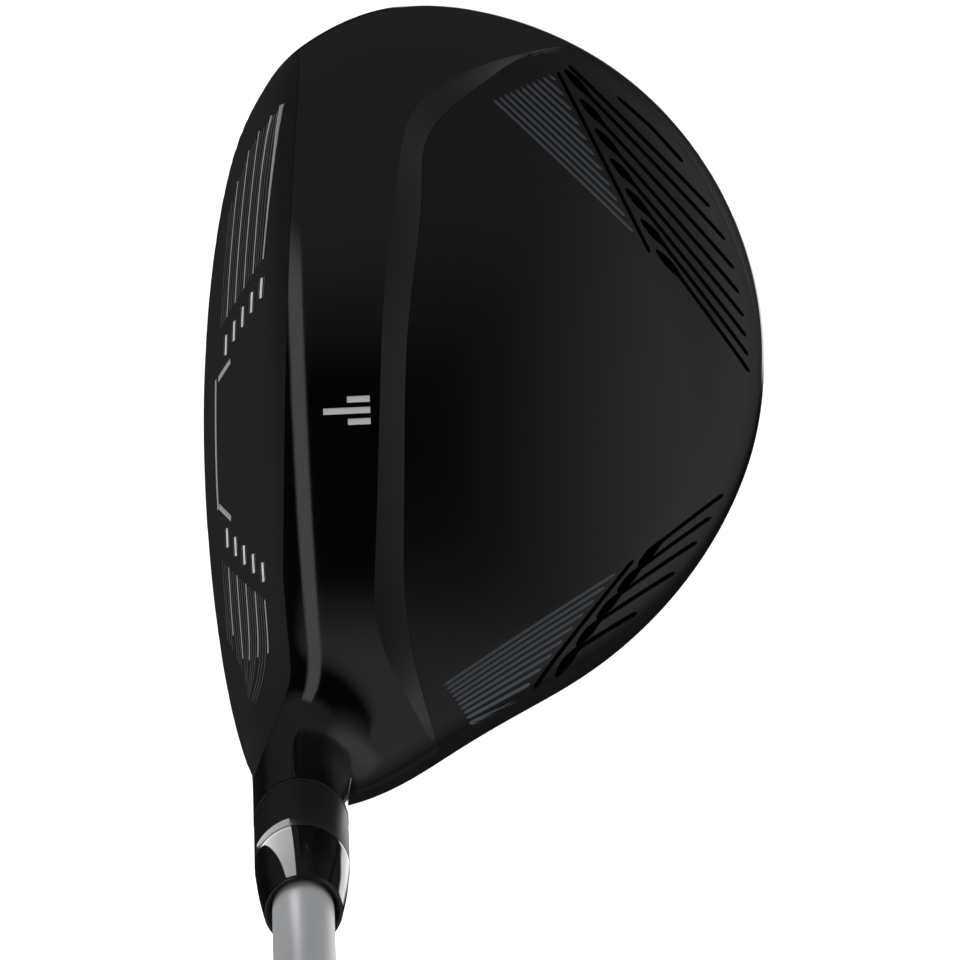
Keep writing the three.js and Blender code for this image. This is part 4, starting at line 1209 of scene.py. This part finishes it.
def weight_cup():
    """The pocket behind the sole weight."""
    low, high, _ = WEIGHT_REACH
    floor = high - 4.3
    stem = 5.8
    profile = [
        (WEIGHT_POCKET, high + 0.15), (WEIGHT_POCKET, floor), (stem, floor, 0.3), (stem, low - 2.0),
        (WEIGHT_POCKET + 2.6, low - 2.0, 1.0), (WEIGHT_POCKET + 2.6, high + 0.15, 0.3),
    ]
    return turned(profile, WEIGHT)


def in_metres(place):
    """A placing matrix in metres."""
    matrix = Matrix(place.tolist())
    matrix.translation *= MM
    return matrix


# the neck's wall thins between these heights on the shaft axis
NECK_THINS = (28.0, 40.0)


class BuildHead(bpy.types.Operator):
    """Builds the body of the head, its crown panel, face plate and sole badge."""

    bl_idname = "fairway_wood.build_head"
    bl_label = "Head"

    def execute(self, context):
        club = context.scene.fairway_wood
        colours, sizes = club.colours, club.head
        surface = HeadSurface(sizes)
        height, distance = along(surface.base, SHAFT)
        share = (height - NECK_THINS[0]) / (NECK_THINS[1] - NECK_THINS[0])
        thin = np.clip(share, 0, 1) * (distance < NECK_RADIUS + 2.5)
        plain_wall = in_mm(sizes.wall)
        wall = plain_wall + (NECK_WALL - plain_wall) * thin
        lacquer = gloss_lacquer(colours.lacquer)
        body = surface.patch(surface.body & ~surface.band, "body", wall)
        band = repainted(surface.patch(surface.band, "band", plain_wall), 1)
        backing = surface.patch(surface.backing, "body", plain_wall, BADGE_WALL + PIN_GAP)
        parts = [body, band, backing, hosel_tube(), lands(club.fittings, lacquer), weight_cup()]
        piece("head_shell", merged(parts), [lacquer, satin_band(colours.band)], "head",
              "gloss_black_paint", "head_body")
        panel = surface.patch(surface.panel, "panel", in_mm(sizes.panel_wall))
        piece("crown", panel, [satin_composite(colours.panel)], "head", "crown_composite", "crown_panel")
        face = surface.patch(surface.face, "body", FACE_WALL)
        piece("striking_face", face, [blasted_face(colours.face)], "head", "face_steel", "face_plate")
        badge = surface.patch(surface.badge, "body", BADGE_WALL)
        badge_finish = anodised_sleeve(lighter(colours.sleeve, 0.03))
        piece("sole_badge_plate", badge, [badge_finish], "head", "badge_satin", "sole_badge")
        return {"FINISHED"}


# ---------- prints on the head ----------
DOWN = Vector((0, 0, -1))
BACKWARDS = Vector((1, 0, 0))
# how finely the guide lines are laid, and how far off they start, in metres
PRINT_STEP = 0.5 * MM
PRINT_START = 0.1
MARK_BAR = 0.9 * MM
# drawn lines have +x to the heel and +y up when they are turned to face the player's side
FACE_TURN = Matrix(((0, 0, -1), (-1, 0, 0), (0, 1, 0))).to_euler()


def mixed(a, b, share):
    """A point between two others."""
    return tuple(p + (q - p) * share for p, q in zip(a, b))


def headed_lines(first_tip, last_tip, head, runs, first_angle, last_angle):
    """Guide lines that start in a slanted head and run off at an angle, one for each run length."""
    lines = []
    for i, run in enumerate(runs):
        share = i / (len(runs) - 1)
        tip = mixed(first_tip, last_tip, share)
        bend = (tip[0] + head[0], tip[1] + head[1])
        angle = math.radians(first_angle + (last_angle - first_angle) * share)
        lines.append([tip, bend, (bend[0] + run * math.cos(angle), bend[1] + run * math.sin(angle))])
    return lines


def fan(first_start, last_start, first_end, last_end, count):
    """Straight lines spread evenly between two sides."""
    shares = [i / (count - 1) for i in range(count)]
    return [[mixed(first_start, last_start, s), mixed(first_end, last_end, s)] for s in shares]


TOE_RUNS = (28.4, 27.6, 26.0, 24.2, 21.9, 19.4, 16.6)
TOE_LINES = headed_lines((31.6, 53.3), (43.3, 26.1), (3.1, -3.8), TOE_RUNS, -49.2, -55.6)
HEEL_RUNS = (11.8, 13.0, 13.9, 13.3, 10.1)
HEEL_LINES = headed_lines((38.6, -19.7), (26.3, -34.6), (3.3, 3.4), HEEL_RUNS, 38.0, 31.6)
TOE_TOP_LINE = [(32.2, 54.0), (51.3, 32.8)]
TOE_SHORT_LINE = [(38.9, 49.2), (43.6, 44.6), (47.8, 39.5)]
TOE_DIVIDER = [(30.6, 52.9), (42.4, 25.6)]
HEEL_DIVIDER = [(38.0, -18.9), (23.1, -36.5)]
TOE_STRIPES = fan((21.2, 48.6), (29.2, 52.4), (40.1, 28.6), (30.3, 51.5), 11)
HEEL_STRIPES = fan((10.6, -36.2), (13.9, -41.0), (35.3, -20.9), (21.2, -37.6), 10)
MARK_BARS = [[(-4.6, 2.6), (2.0, 2.6)], [(-1.2, 4.2), (2.0, 4.2)], [(-1.2, 1.0), (2.0, 1.0)]]


class BuildPrints(bpy.types.Operator):
    """Lays the printed lines and the plain alignment bars on the crown."""

    bl_idname = "fairway_wood.build_prints"
    bl_label = "Crown prints"

    def execute(self, context):
        club = context.scene.fairway_wood
        colours, sizes = club.colours, club.prints
        tree = strip_tree()
        black = printed_ink("matte_black_pad_print", colours.print_black, 0.85, 0.0)
        pale = printed_ink("slate_pad_print", colours.print_pale, 0.35, 0.5)
        mark = printed_ink("silver_pad_print", colours.mark, 0.45, 0.5)

        def strips(name, lines, ink, broad, head, head_length, surface, end_share=0.25):
            mesh = grown(guide_mesh(lines), tree, Surface=bpy.data.objects[surface], Width=broad,
                         Head_width=head, Head_length=head_length, Step=PRINT_STEP, Lift=sizes.lift,
                         Thickness=sizes.ink, Start=DOWN * -PRINT_START, Turn=Vector((0, 0, 0)),
                         Direction=DOWN, End_share=end_share, Finish=ink)
            slot = "crown_composite" if surface == "crown" else "gloss_black_paint"
            piece(name, mesh, [ink], "head", slot)

        headed = TOE_LINES + HEEL_LINES
        plain = [TOE_TOP_LINE, TOE_SHORT_LINE, TOE_DIVIDER, HEEL_DIVIDER]
        strips("headed_lines", headed, black, sizes.line, sizes.bead, sizes.bead_length, "crown")
        strips("plain_lines", plain, black, sizes.line, sizes.line, sizes.line, "crown")
        stripes = TOE_STRIPES + HEEL_STRIPES
        strips("pale_stripes", stripes, pale, sizes.stripe, sizes.stripe, sizes.stripe, "crown")
        strips("alignment_bars", MARK_BARS, mark, MARK_BAR, MARK_BAR, MARK_BAR, "head_shell", 1.0)
        return {"FINISHED"}


# heights and distances to the toe on the face, in millimetres
SCORE_PITCH = 3.93
SCORE_LOW = 15.5
SCORE_COUNT = 5
FINE_PER_PITCH = 4
FINE_SHORTER = 0.6
TOE_SCORE_ENDS = Cubic([15.5, 19.4, 23.4, 27.3, 31.2], [40.4, 44.0, 46.0, 47.5, 48.8])
HEEL_SCORE_ENDS = Cubic([15.5, 19.4, 23.4, 27.3, 31.2], [-24.4, -28.3, -29.2, -29.4, -29.5])
HEEL_FINE_ENDS = Cubic([13.0, 17.0, 21.0, 26.0, 32.0], [-25.0, -28.5, -32.0, -34.8, -36.7])
# inner ends at the lowest score line, and how far they move for each millimetre above it
TOE_SCORE_START = (20.9, 0.33)
HEEL_SCORE_START = (-14.8, -0.46)
# the dashes' inner ends at the lowest score line, how far they move with each line, and their length
TOE_DASH = (15.4, 1.28, 2.9)
HEEL_DASH = (-9.3, -1.88, -2.7)
DASH_WIDTH = 0.78 * MM
FRAME_FOOT = [[(-12.8, 10.5), (5.9, 10.5)]]
FRAME_FOOT_WIDTH = 0.8 * MM
FRAME_SIDES = [[(-12.6, 11.9), (-14.1, 18.0)], [(5.6, 11.2), (8.3, 16.8)]]
FRAME_SIDE_WIDTH = 0.85 * MM
# the lines fall towards the heel, and the high ones sag beyond a distance to the toe
HEEL_DROP = 0.11
TOE_SAG = 3.2
SAG_HEIGHTS = (26.5, 31.2)
SAG_REACH = (27.0, 48.0)


def toe_score_start(z):
    """Where a score line starts on the toe's side of the plain middle."""
    return TOE_SCORE_START[0] + TOE_SCORE_START[1] * (z - SCORE_LOW)


def heel_score_start(z):
    """Where a score line starts on the heel's side of the plain middle."""
    return HEEL_SCORE_START[0] + HEEL_SCORE_START[1] * (z - SCORE_LOW)


def score_line(start, end, z, steps=8):
    """A guide line across the face, drawn with +x to the heel."""
    line = []
    for i in range(steps + 1):
        y = start + (end - start) * i / steps
        high = min(max((z - SAG_HEIGHTS[0]) / (SAG_HEIGHTS[1] - SAG_HEIGHTS[0]), 0), 1)
        sag = TOE_SAG * high * max((y - SAG_REACH[0]) / (SAG_REACH[1] - SAG_REACH[0]), 0) ** 2
        line.append((-y, z - sag - HEEL_DROP * max(-y, 0)))
    return line


class BuildScoreLines(bpy.types.Operator):
    """Lays the score lines, their dashes and the frame of the plain middle on the face."""

    bl_idname = "fairway_wood.build_score_lines"
    bl_label = "Score lines"

    def execute(self, context):
        club = context.scene.fairway_wood
        sizes = club.prints
        tree = strip_tree()
        bright = printed_ink("milled_groove_bright", club.colours.score, 0.5, 0.4)
        dim = printed_ink("milled_groove_fine", club.colours.fine_score, 0.5, 0.3)

        def strips(name, lines, ink, broad):
            mesh = grown(guide_mesh(lines), tree, Surface=bpy.data.objects["striking_face"], Width=broad,
                         Head_width=broad, Head_length=broad, Step=PRINT_STEP, Lift=sizes.lift,
                         Thickness=sizes.ink, Start=BACKWARDS * -PRINT_START, Turn=Vector(FACE_TURN),
                         Direction=BACKWARDS, End_share=1.0, Finish=ink)
            piece(name, mesh, [ink], "head", "face_steel")

        white = printed_ink("painted_groove_white", club.colours.dash, 0.5, 0.5)
        main, fine, dashes = [], [], []
        for i in range(SCORE_COUNT):
            z = SCORE_LOW + i * SCORE_PITCH
            dash_ends = [(start + step * i, start + step * i + length)
                         for start, step, length in (TOE_DASH, HEEL_DASH)]
            main.append(score_line(toe_score_start(z), float(TOE_SCORE_ENDS(z)[0]), z))
            main.append(score_line(heel_score_start(z), float(HEEL_SCORE_ENDS(z)[0]), z))
            dashes += [score_line(start, end, z, 2) for start, end in dash_ends]
            for k in range(1, FINE_PER_PITCH):
                low = z + SCORE_PITCH * (k / FINE_PER_PITCH - 1)
                toe_end = float(TOE_SCORE_ENDS(low)[0]) - FINE_SHORTER
                fine.append(score_line(toe_score_start(low), toe_end, low))
                fine.append(score_line(heel_score_start(low), float(HEEL_FINE_ENDS(low)[0]), low))
                beside = z + SCORE_PITCH * (k / FINE_PER_PITCH - 0.5)
                fine += [score_line(start, end, beside, 2) for start, end in dash_ends]
        strips("score_lines", main, bright, sizes.score)
        strips("fine_score_lines", fine, dim, sizes.fine_score)
        strips("score_dashes", dashes, white, DASH_WIDTH)
        strips("face_frame", FRAME_FOOT, bright, FRAME_FOOT_WIDTH)
        strips("face_frame_corners", FRAME_SIDES, bright, FRAME_SIDE_WIDTH)
        return {"FINISHED"}


# ---------- pieces on the sole ----------
SOCKET_RADIUS = 2.6
SOCKET_DEPTH = 2.6
LOBE = 0.12
LAY_ROUND = (1.0, 1.0, 6.0)


class BuildSoleWeight(bpy.types.Operator):
    """Builds the sole weight, with its six-lobed socket, and the heavy core in its stem."""

    bl_idname = "fairway_wood.build_sole_weight"
    bl_label = "Sole weight"

    def execute(self, context):
        low, high, radius = WEIGHT_REACH
        back, stem, core = high - 4.0, 5.5, 4.2
        core_top = reach("weight_core", WEIGHT)[1]
        profile = [
            (0, high - SOCKET_DEPTH), (SOCKET_RADIUS, high - SOCKET_DEPTH, 0, LOBE),
            (SOCKET_RADIUS, high - 0.5, 0.15, LOBE), (4.2, high - 0.45, 0.2), (4.9, high, 0.3),
            (6.6, high, 0.1), (6.75, high - 0.3, 0.1), (7.25, high - 0.3, 0.1), (7.4, high, 0.1),
            (radius, high, 0.5), (radius, back, 0.3), (stem, back, 0.3), (stem, low, 0.4),
            (core + PIN_GAP, low), (core + PIN_GAP, core_top + PIN_GAP), (0, core_top + PIN_GAP),
        ]
        steel = machined_metal("turned_stainless_steel", "#a3a5a8", 0.3, LAY_ROUND)
        piece("weight_disc", turned(profile, WEIGHT), [steel], "weight", "weight_steel", "sole_weight")
        profile = [(0, low), (core, low, 0.4), (core, core_top, 0.3), (0, core_top)]
        tungsten = machined_metal("sintered_tungsten", "#5f6062", 0.5)
        piece("weight_core_slug", turned(profile, WEIGHT), [tungsten], "weight", "weight_tungsten",
              "weight_core")
        return {"FINISHED"}


# ---------- pieces on the shaft axis ----------
class BuildHoselHardware(bpy.types.Operator):
    """Builds the hosel screw, its washer and retainer, and the washer under the sleeve's collar."""

    bl_idname = "fairway_wood.build_hosel_hardware"
    bl_label = "Hosel screw and washers"

    def execute(self, context):
        club = context.scene.fairway_wood
        low, high, head = SCREW
        shank, head_top, groove_from, groove_to = 2.45, low + 4.5, low + 9.0, low + 10.6
        thread_from, thread_to = groove_to + 0.3, high - 0.9
        pitch = in_mm(club.fittings.thread)
        stops = [thread_from + i * pitch / 8 for i in range(int((thread_to - thread_from) / pitch * 8))]
        profile = [
            (0, low + SOCKET_DEPTH), (SOCKET_RADIUS, low + SOCKET_DEPTH, 0, LOBE),
            (SOCKET_RADIUS, low, 0.15, LOBE),
            (head, low, 0.6), (head, head_top, 0.2), (shank, head_top, 0.3), (shank, groove_from, 0.1),
            (shank - 0.5, groove_from), (shank - 0.5, groove_to), (shank, groove_to, 0.1),
        ] + [(shank, t) for t in stops] + [(shank - 0.7, high, 0.2), (0, high)]
        screw = turned(profile, SHAFT, 48, thread=(pitch, 0.45, thread_from, thread_to))
        titanium = machined_metal("turned_titanium", "#8d8b88", 0.35)
        piece("sleeve_screw", screw, [titanium], "screw", "screw_titanium", "hosel_screw")
        steel = machined_metal("stamped_steel", "#9c9ea1", 0.35)
        nylon = plain_moulding("moulded_black_nylon", "#0c0c0d", 0.45)
        rows = [
            ("screw_washer", "seat_washer", steel, 2.7, 0.15, "head", "weight_steel"),
            ("screw_retainer", "retainer_clip", nylon, 2.25, 0.25, "screw", "clip_nylon"),
            ("sleeve_washer", "collar_washer", nylon, WASHER[2] - 0.9, 0.12, "ring", "clip_nylon"),
        ]
        for node, name, material, bore, edge, body, slot in rows:
            start, end, outer = reach(node, SHAFT)
            profile = [(bore, start, edge), (outer, start, edge), (outer, end, edge), (bore, end, edge)]
            piece(name, turned(profile, SHAFT), [material], body, slot, node)
        return {"FINISHED"}


class BuildSleeve(bpy.types.Operator):
    """Builds the shaft sleeve, with its collar and splines, and the ferrule above it."""

    bl_idname = "fairway_wood.build_sleeve"
    bl_label = "Sleeve and ferrule"

    def execute(self, context):
        club = context.scene.fairway_wood
        colours = club.colours
        low, top, collar = reach("shaft_sleeve", SHAFT)
        body, bore, thread = 5.15, 4.4, 2.6
        collar_from = WASHER[1] + 0.15
        thread_top, floor = SCREW[1] + 1.0, SHAFT_REACH[0] - 0.4
        profile = [
            (thread, low, 0.3), (thread, thread_top), (0, thread_top + 0.8), (0, floor), (bore, floor),
            (bore, top), (collar, top, 0.18), (collar, collar_from, 0.25), (body, collar_from),
            (body, low, 0.5),
        ]
        black = anodised_sleeve(colours.sleeve)
        teeth = grown(guide_mesh([]), teeth_tree(), Count=club.fittings.splines, Radius=body * MM,
                      Block=Vector((0.9, 1.27, 10.0)) * MM, Height=(collar_from - 8.0) * MM, Finish=black)
        teeth.transform(in_metres(SHAFT))
        sleeve = merged([turned(profile, SHAFT, 128), teeth])
        piece("sleeve", sleeve, [black], "shaft_assembly", "sleeve_anodised", "shaft_sleeve")
        start, end, wide = FERRULE
        tip = 5.42
        profile = [
            (bore, start), (bore, end - 1.6), (tip - 0.75, end - 0.5, 0.3), (tip - 0.3, end - 0.05, 0.25),
            (tip, end - 0.35, 0.3), (tip + 0.12, end - 1.4, 0.8), (wide - 0.42, start + 7.5, 5.0),
            (wide - 0.02, start + 0.9, 0.6), (wide - 0.02, start, 0.15),
        ]
        gloss = polished_ferrule(colours.ferrule)
        piece("ferrule_cone", turned(profile, SHAFT, 128), [gloss], "shaft_assembly", "ferrule_gloss",
              "ferrule")
        return {"FINISHED"}


TIP_RADIUS = 4.25
TIP_PARALLEL = 75.0
BUTT_RADIUS = 7.62
TAPE_RISE = 0.15
TAPE_WALL = 0.4
SHAFT_WALL = 1.35
# how much thinner the shaft's wall is at the butt
SHAFT_THINS = 0.25
GRIP_OVER_SHAFT = 0.7
GRIP_WALL = 1.9
# how much the grip swells by its butt end, and how late
GRIP_SWELL = 3.1
GRIP_SWELL_POWER = 1.3
DIAMOND = 1.5
DIAMOND_HEIGHT = 0.6
DIAMONDS_FROM = 14.0
DIAMONDS_SHORT = 16.0


def shaft_radius(height):
    """The shaft's radius at a height on its axis."""
    taper_from = SHAFT_REACH[0] + TIP_PARALLEL
    share = max(height - taper_from, 0) / (SHAFT_REACH[1] - taper_from)
    return TIP_RADIUS + (BUTT_RADIUS - TIP_RADIUS) * share


def grip_radius(height):
    """The grip's radius at a height on the shaft axis."""
    share = (height - GRIP_REACH[0]) / (GRIP_REACH[1] - GRIP_REACH[0])
    return shaft_radius(height) + GRIP_OVER_SHAFT + GRIP_WALL + GRIP_SWELL * max(share, 0) ** GRIP_SWELL_POWER


def spaced(start, end, count):
    """Evenly spaced heights, ends included."""
    return [start + (end - start) * i / (count - 1) for i in range(count)]


class BuildShaft(bpy.types.Operator):
    """Builds the tapered shaft, the plug in its tip and the tape under the grip."""

    bl_idname = "fairway_wood.build_shaft"
    bl_label = "Shaft"

    def execute(self, context):
        colours = context.scene.fairway_wood.colours
        start, end, _ = SHAFT_REACH
        stops = spaced(start, end, 60)
        outside = [(shaft_radius(t), t) for t in stops]
        inside = [(shaft_radius(t) - SHAFT_WALL + SHAFT_THINS * (t - start) / (end - start), t)
                  for t in reversed(stops)]
        silver = metallic_shaft(colours.shaft)
        piece("tapered_shaft", turned(outside + inside, SHAFT, 96), [silver], "shaft_assembly",
              "shaft_silver", "shaft")
        low, high, radius = reach("tip_plug", SHAFT)
        brass = machined_metal("turned_brass", "#b08d4a", 0.35)
        profile = [(0, low), (radius, low, 0.4), (radius, high, 0.4), (0, high)]
        piece("swing_weight_plug", turned(profile, SHAFT, 48), [brass], "shaft_assembly", "plug_brass",
              "tip_plug")
        low, high, _ = reach("grip_tape", SHAFT)
        stops = spaced(low, high, 110)
        outside = [(shaft_radius(t) + TAPE_RISE + TAPE_WALL, t) for t in stops]
        inside = [(shaft_radius(t) + TAPE_RISE, t) for t in reversed(stops)]
        tape = turned(outside + inside, SHAFT, 48)
        paper = plain_moulding("crepe_paper_tape", "#d8d2bf", 0.9)
        piece("wound_tape", tape, [paper], "shaft_assembly", "tape_paper", "grip_tape")
        return {"FINISHED"}


class BuildGrip(bpy.types.Operator):
    """Builds the rubber grip with its raised diamonds, and its cap."""

    bl_idname = "fairway_wood.build_grip"
    bl_label = "Grip"

    def execute(self, context):
        club = context.scene.fairway_wood
        fittings = club.fittings
        start, end, _ = GRIP_REACH
        rubber = moulded_rubber(club.colours.rubber)
        mouth = grip_radius(start)
        stops = spaced(start + 6, end, 50)
        outside = [(mouth - 0.3, start, 0.3), (mouth + 0.4, start + 1.2, 0.5), (mouth + 0.4, start + 4, 0.6),
                   (grip_radius(start + 5), start + 5, 0.4)]
        outside += [(grip_radius(t) - 0.25, t) for t in stops]
        bore = [(shaft_radius(t) + GRIP_OVER_SHAFT, t) for t in (end, start)]
        upright = np.eye(4)
        plain = turned(outside + bore, upright, 96)
        target = bpy.data.objects.new("grip_target", plain)
        bpy.context.scene.collection.objects.link(target)
        pitch = (end - start - DIAMONDS_FROM - DIAMONDS_SHORT) / fittings.grip_rows
        diamonds = grown(guide_mesh([]), grip_tree(), Surface=target, Rows=fittings.grip_rows,
                         Columns=fittings.grip_columns, From=(start + DIAMONDS_FROM) * MM, Pitch=pitch * MM,
                         Diamond=DIAMOND * MM, Height=DIAMOND_HEIGHT * MM, Finish=rubber)
        bpy.data.objects.remove(target)
        whole = merged([plain, diamonds])
        whole.transform(in_metres(SHAFT))
        piece("grip_sleeve", whole, [rubber], "shaft_assembly", "grip_rubber", "grip")
        low, high, radius = CAP_REACH
        profile = [
            (1.5, low), (radius - 0.25, low, 0.2), (radius - 0.25, high - 0.9, 1.2),
            (radius - 1.9, high, 0.8), (4.2, high, 0.2), (3.9, high - 0.4, 0.2), (3.1, high - 0.4, 0.2),
            (2.8, high, 0.2), (1.5, high, 0.3),
        ]
        piece("butt_cap", turned(profile, SHAFT), [rubber], "shaft_assembly", "grip_rubber", "grip_cap")
        return {"FINISHED"}


# ---------- stage ----------
HEAD_MIDDLE = sum((Vector(corner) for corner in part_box("head_body")), Vector()) / 2


class StageSizes(bpy.types.PropertyGroup):
    """The camera and the light."""

    azimuth: FloatProperty(name="Azimuth", description="Camera's turn round the head",
                           default=math.radians(-2.5), subtype="ANGLE", unit="ROTATION")
    elevation: FloatProperty(name="Elevation", description="Camera's height as an angle",
                             default=math.radians(80.5), subtype="ANGLE", unit="ROTATION")
    distance: size("Distance", "From the camera to the head", 1800.0)
    span: size("Span", "Width of the view at the head", 135.2)
    aim: FloatVectorProperty(name="Aim", description="Where the camera looks, from the middle of the head",
                             default=(-0.002416, -0.007215, -0.00043), subtype="TRANSLATION", unit="LENGTH")
    strip: FloatProperty(name="Strip", description="Power of the narrow light beside the ferrule",
                         default=0.0011, min=0.0, unit="POWER")
    floor_glow: FloatProperty(name="Floor glow", description="Light that the floor gives off", default=1.0,
                              min=0.0)


# A light is its strength and its ramps. A ramp is an axis of the view direction, where it is dark, where
# it is full, its curve and its power.
WIDE_LIGHTS = [
    (0.8, [("X", 0.16, 0.8, "LINEAR", 1.6)]),
    (0.27, [("Y", 0.28, 0.62, "SMOOTHSTEP", 1.0)]),
    (0.5, [("Y", 0.0, -0.14, "SMOOTHSTEP", 1.0)]),
]
SOFT_BOXES = [
    (1.28, [("X", -0.2, -0.26, "SMOOTHSTEP", 1.0), ("X", -0.7, -0.55, "SMOOTHSTEP", 1.0),
            ("Y", 0.66, 0.5, "SMOOTHSTEP", 1.0), ("Z", -0.05, 0.1, "SMOOTHSTEP", 1.0)]),
    (2.6, [("Z", -0.79, -0.83, "SMOOTHSTEP", 1.0), ("X", -0.03, 0.0, "SMOOTHSTEP", 1.0),
           ("Y", 0.12, 0.17, "SMOOTHSTEP", 1.0)]),
]
# the wide lights fade towards the ground, down to a share
FADE = (-0.95, 0.25)
FADE_LEAST = 0.06
ROOM_GLOW = 0.012


def studio_world():
    """A dark ceiling with soft lights round it, so that each side of the head mirrors a different tone."""
    world = bpy.data.worlds.new("soft_studio")
    world.use_nodes = True
    tree = world.node_tree
    tree.nodes.clear()
    direction = add(tree, "ShaderNodeTexCoord").outputs["Generated"]
    axes = add(tree, "ShaderNodeSeparateXYZ", {0: direction}).outputs
    rise = add(tree, "ShaderNodeMapRange", {"Value": axes["Z"], "From Min": FADE[0], "From Max": FADE[1]})
    fade = add(tree, MATH, {0: rise, 1: FADE_LEAST}, operation="MAXIMUM")
    glow = ROOM_GLOW
    for lights, share in ((WIDE_LIGHTS, fade), (SOFT_BOXES, 1.0)):
        for strength, ramps in lights:
            level = add(tree, MATH, {0: share, 1: strength}, operation="MULTIPLY")
            for axis, dark, full, curve, power in ramps:
                ramp = add(tree, "ShaderNodeMapRange", {
                    "Value": axes[axis], "From Min": dark, "From Max": full,
                }, interpolation_type=curve)
                steep = add(tree, MATH, {0: ramp, 1: power}, operation="POWER")
                level = add(tree, MATH, {0: level, 1: steep}, operation="MULTIPLY")
            glow = add(tree, MATH, {0: glow, 1: level}, operation="MAXIMUM")
    light = add(tree, "ShaderNodeBackground", {"Strength": glow})
    add(tree, "ShaderNodeOutputWorld", {"Surface": light})
    return world


FLOOR_HALF = 40.0
FLOOR_DROP = 0.00005
# which way round the shaft the ferrule mirrors the narrow light
STRIP_SIDE = (0.954, 0.3, 0.0)
# the narrow light's breadth and length in metres, and its distance and its rise up the shaft in millimetres
STRIP_SIZE = (0.0056, 0.018)
STRIP_DISTANCE = 15.0
STRIP_RISE = 6.5
SENSOR_WIDTH = 36.0


class BuildStage(bpy.types.Operator):
    """Sets up the floor, the light and the camera."""

    bl_idname = "fairway_wood.build_stage"
    bl_label = "Studio"

    def execute(self, context):
        scene = context.scene
        club = scene.fairway_wood
        stage = club.stage
        scene.view_settings.view_transform = "Standard"
        scene.world = studio_world()
        half, low = FLOOR_HALF, CAD_BOX[0][2] - FLOOR_DROP
        floor_mesh = bpy.data.meshes.new("floor")
        corners = [(-half, -half, low), (half, -half, low), (half, half, low), (-half, half, low)]
        floor_mesh.from_pydata(corners, [], [(0, 1, 2, 3)])
        # a pale paper roll, lit from within so that it stays even: matte, with a 4 mm mottle in its gloss
        paper, tree, shader = finish("pale_paper_floor", club.colours.floor, 0.9, Specular_IOR_Level=0.1,
                                     Emission_Color=(1, 1, 1, 1), Emission_Strength=stage.floor_glow)
        varied(tree, shader, grain(tree, 4.0), roughness=(0.85, 0.95))
        floor_mesh.materials.append(paper)
        floor = bpy.data.objects.new("floor", floor_mesh)
        scene.collection.objects.link(floor)
        floor.visible_glossy = False

        flat = math.cos(stage.elevation)
        away = Vector((math.sin(stage.azimuth) * flat, -math.cos(stage.azimuth) * flat,
                       math.sin(stage.elevation)))
        lens = bpy.data.cameras.new("camera")
        lens.sensor_width = SENSOR_WIDTH
        lens.lens = SENSOR_WIDTH * stage.distance / stage.span
        camera = bpy.data.objects.new("camera", lens)
        camera.location = HEAD_MIDDLE + Vector(stage.aim) + away * stage.distance
        camera.rotation_euler = away.to_track_quat("Z", "Y").to_euler()
        scene.collection.objects.link(camera)
        scene.camera = camera

        up = SHAFT[:3, 2]
        beam = SHAFT[:3, :3] @ np.array(STRIP_SIDE)
        middle = SHAFT[:3, 3] + up * (FERRULE[0] + FERRULE[1]) / 2 + beam * FERRULE[2]
        mirrored = 2 * (beam @ np.array(away)) * beam - np.array(away)
        strip = bpy.data.lights.new("ferrule_strip", "AREA")
        strip.shape = "RECTANGLE"
        strip.size, strip.size_y = STRIP_SIZE
        strip.energy = stage.strip
        lamp = bpy.data.objects.new("ferrule_strip", strip)
        lamp.location = (middle + mirrored * STRIP_DISTANCE + up * STRIP_RISE) * MM
        lamp.rotation_euler = Vector(mirrored).to_track_quat("Z", "Y").to_euler()
        lamp.visible_camera = False
        scene.collection.objects.link(lamp)
        return {"FINISHED"}


# ---------- add-on ----------
class Club(bpy.types.PropertyGroup):
    """Everything that can be changed on the club."""

    head: PointerProperty(type=HeadSizes)
    prints: PointerProperty(type=PrintSizes)
    fittings: PointerProperty(type=FittingSizes)
    colours: PointerProperty(type=Colours)
    stage: PointerProperty(type=StageSizes)


OPERATORS = (
    BuildHead, BuildPrints, BuildScoreLines, BuildSoleWeight, BuildHoselHardware, BuildSleeve, BuildShaft,
    BuildGrip, BuildStage,
)


class ClubPanel(bpy.types.Panel):
    """Lists the steps that build the club."""

    bl_idname = "FAIRWAY_WOOD_PT_steps"
    bl_label = "Fairway Wood"
    bl_space_type = "VIEW_3D"
    bl_region_type = "UI"
    bl_category = "Club"

    def draw(self, context):
        for operator in OPERATORS:
            self.layout.operator(operator.bl_idname)


CLASSES = (HeadSizes, PrintSizes, FittingSizes, Colours, StageSizes, Club) + OPERATORS + (ClubPanel,)


def register():
    """Adds the classes to Blender."""
    for kind in CLASSES:
        bpy.utils.register_class(kind)
    bpy.types.Scene.fairway_wood = PointerProperty(type=Club)


def unregister():
    """Takes the classes out again."""
    del bpy.types.Scene.fairway_wood
    for kind in reversed(CLASSES):
        bpy.utils.unregister_class(kind)


def main():
    """Builds the whole club in order."""
    register()
    for operator in OPERATORS:
        group, name = operator.bl_idname.split(".")
        getattr(getattr(bpy.ops, group), name)()
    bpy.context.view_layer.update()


if __name__ == "__main__":
    main()
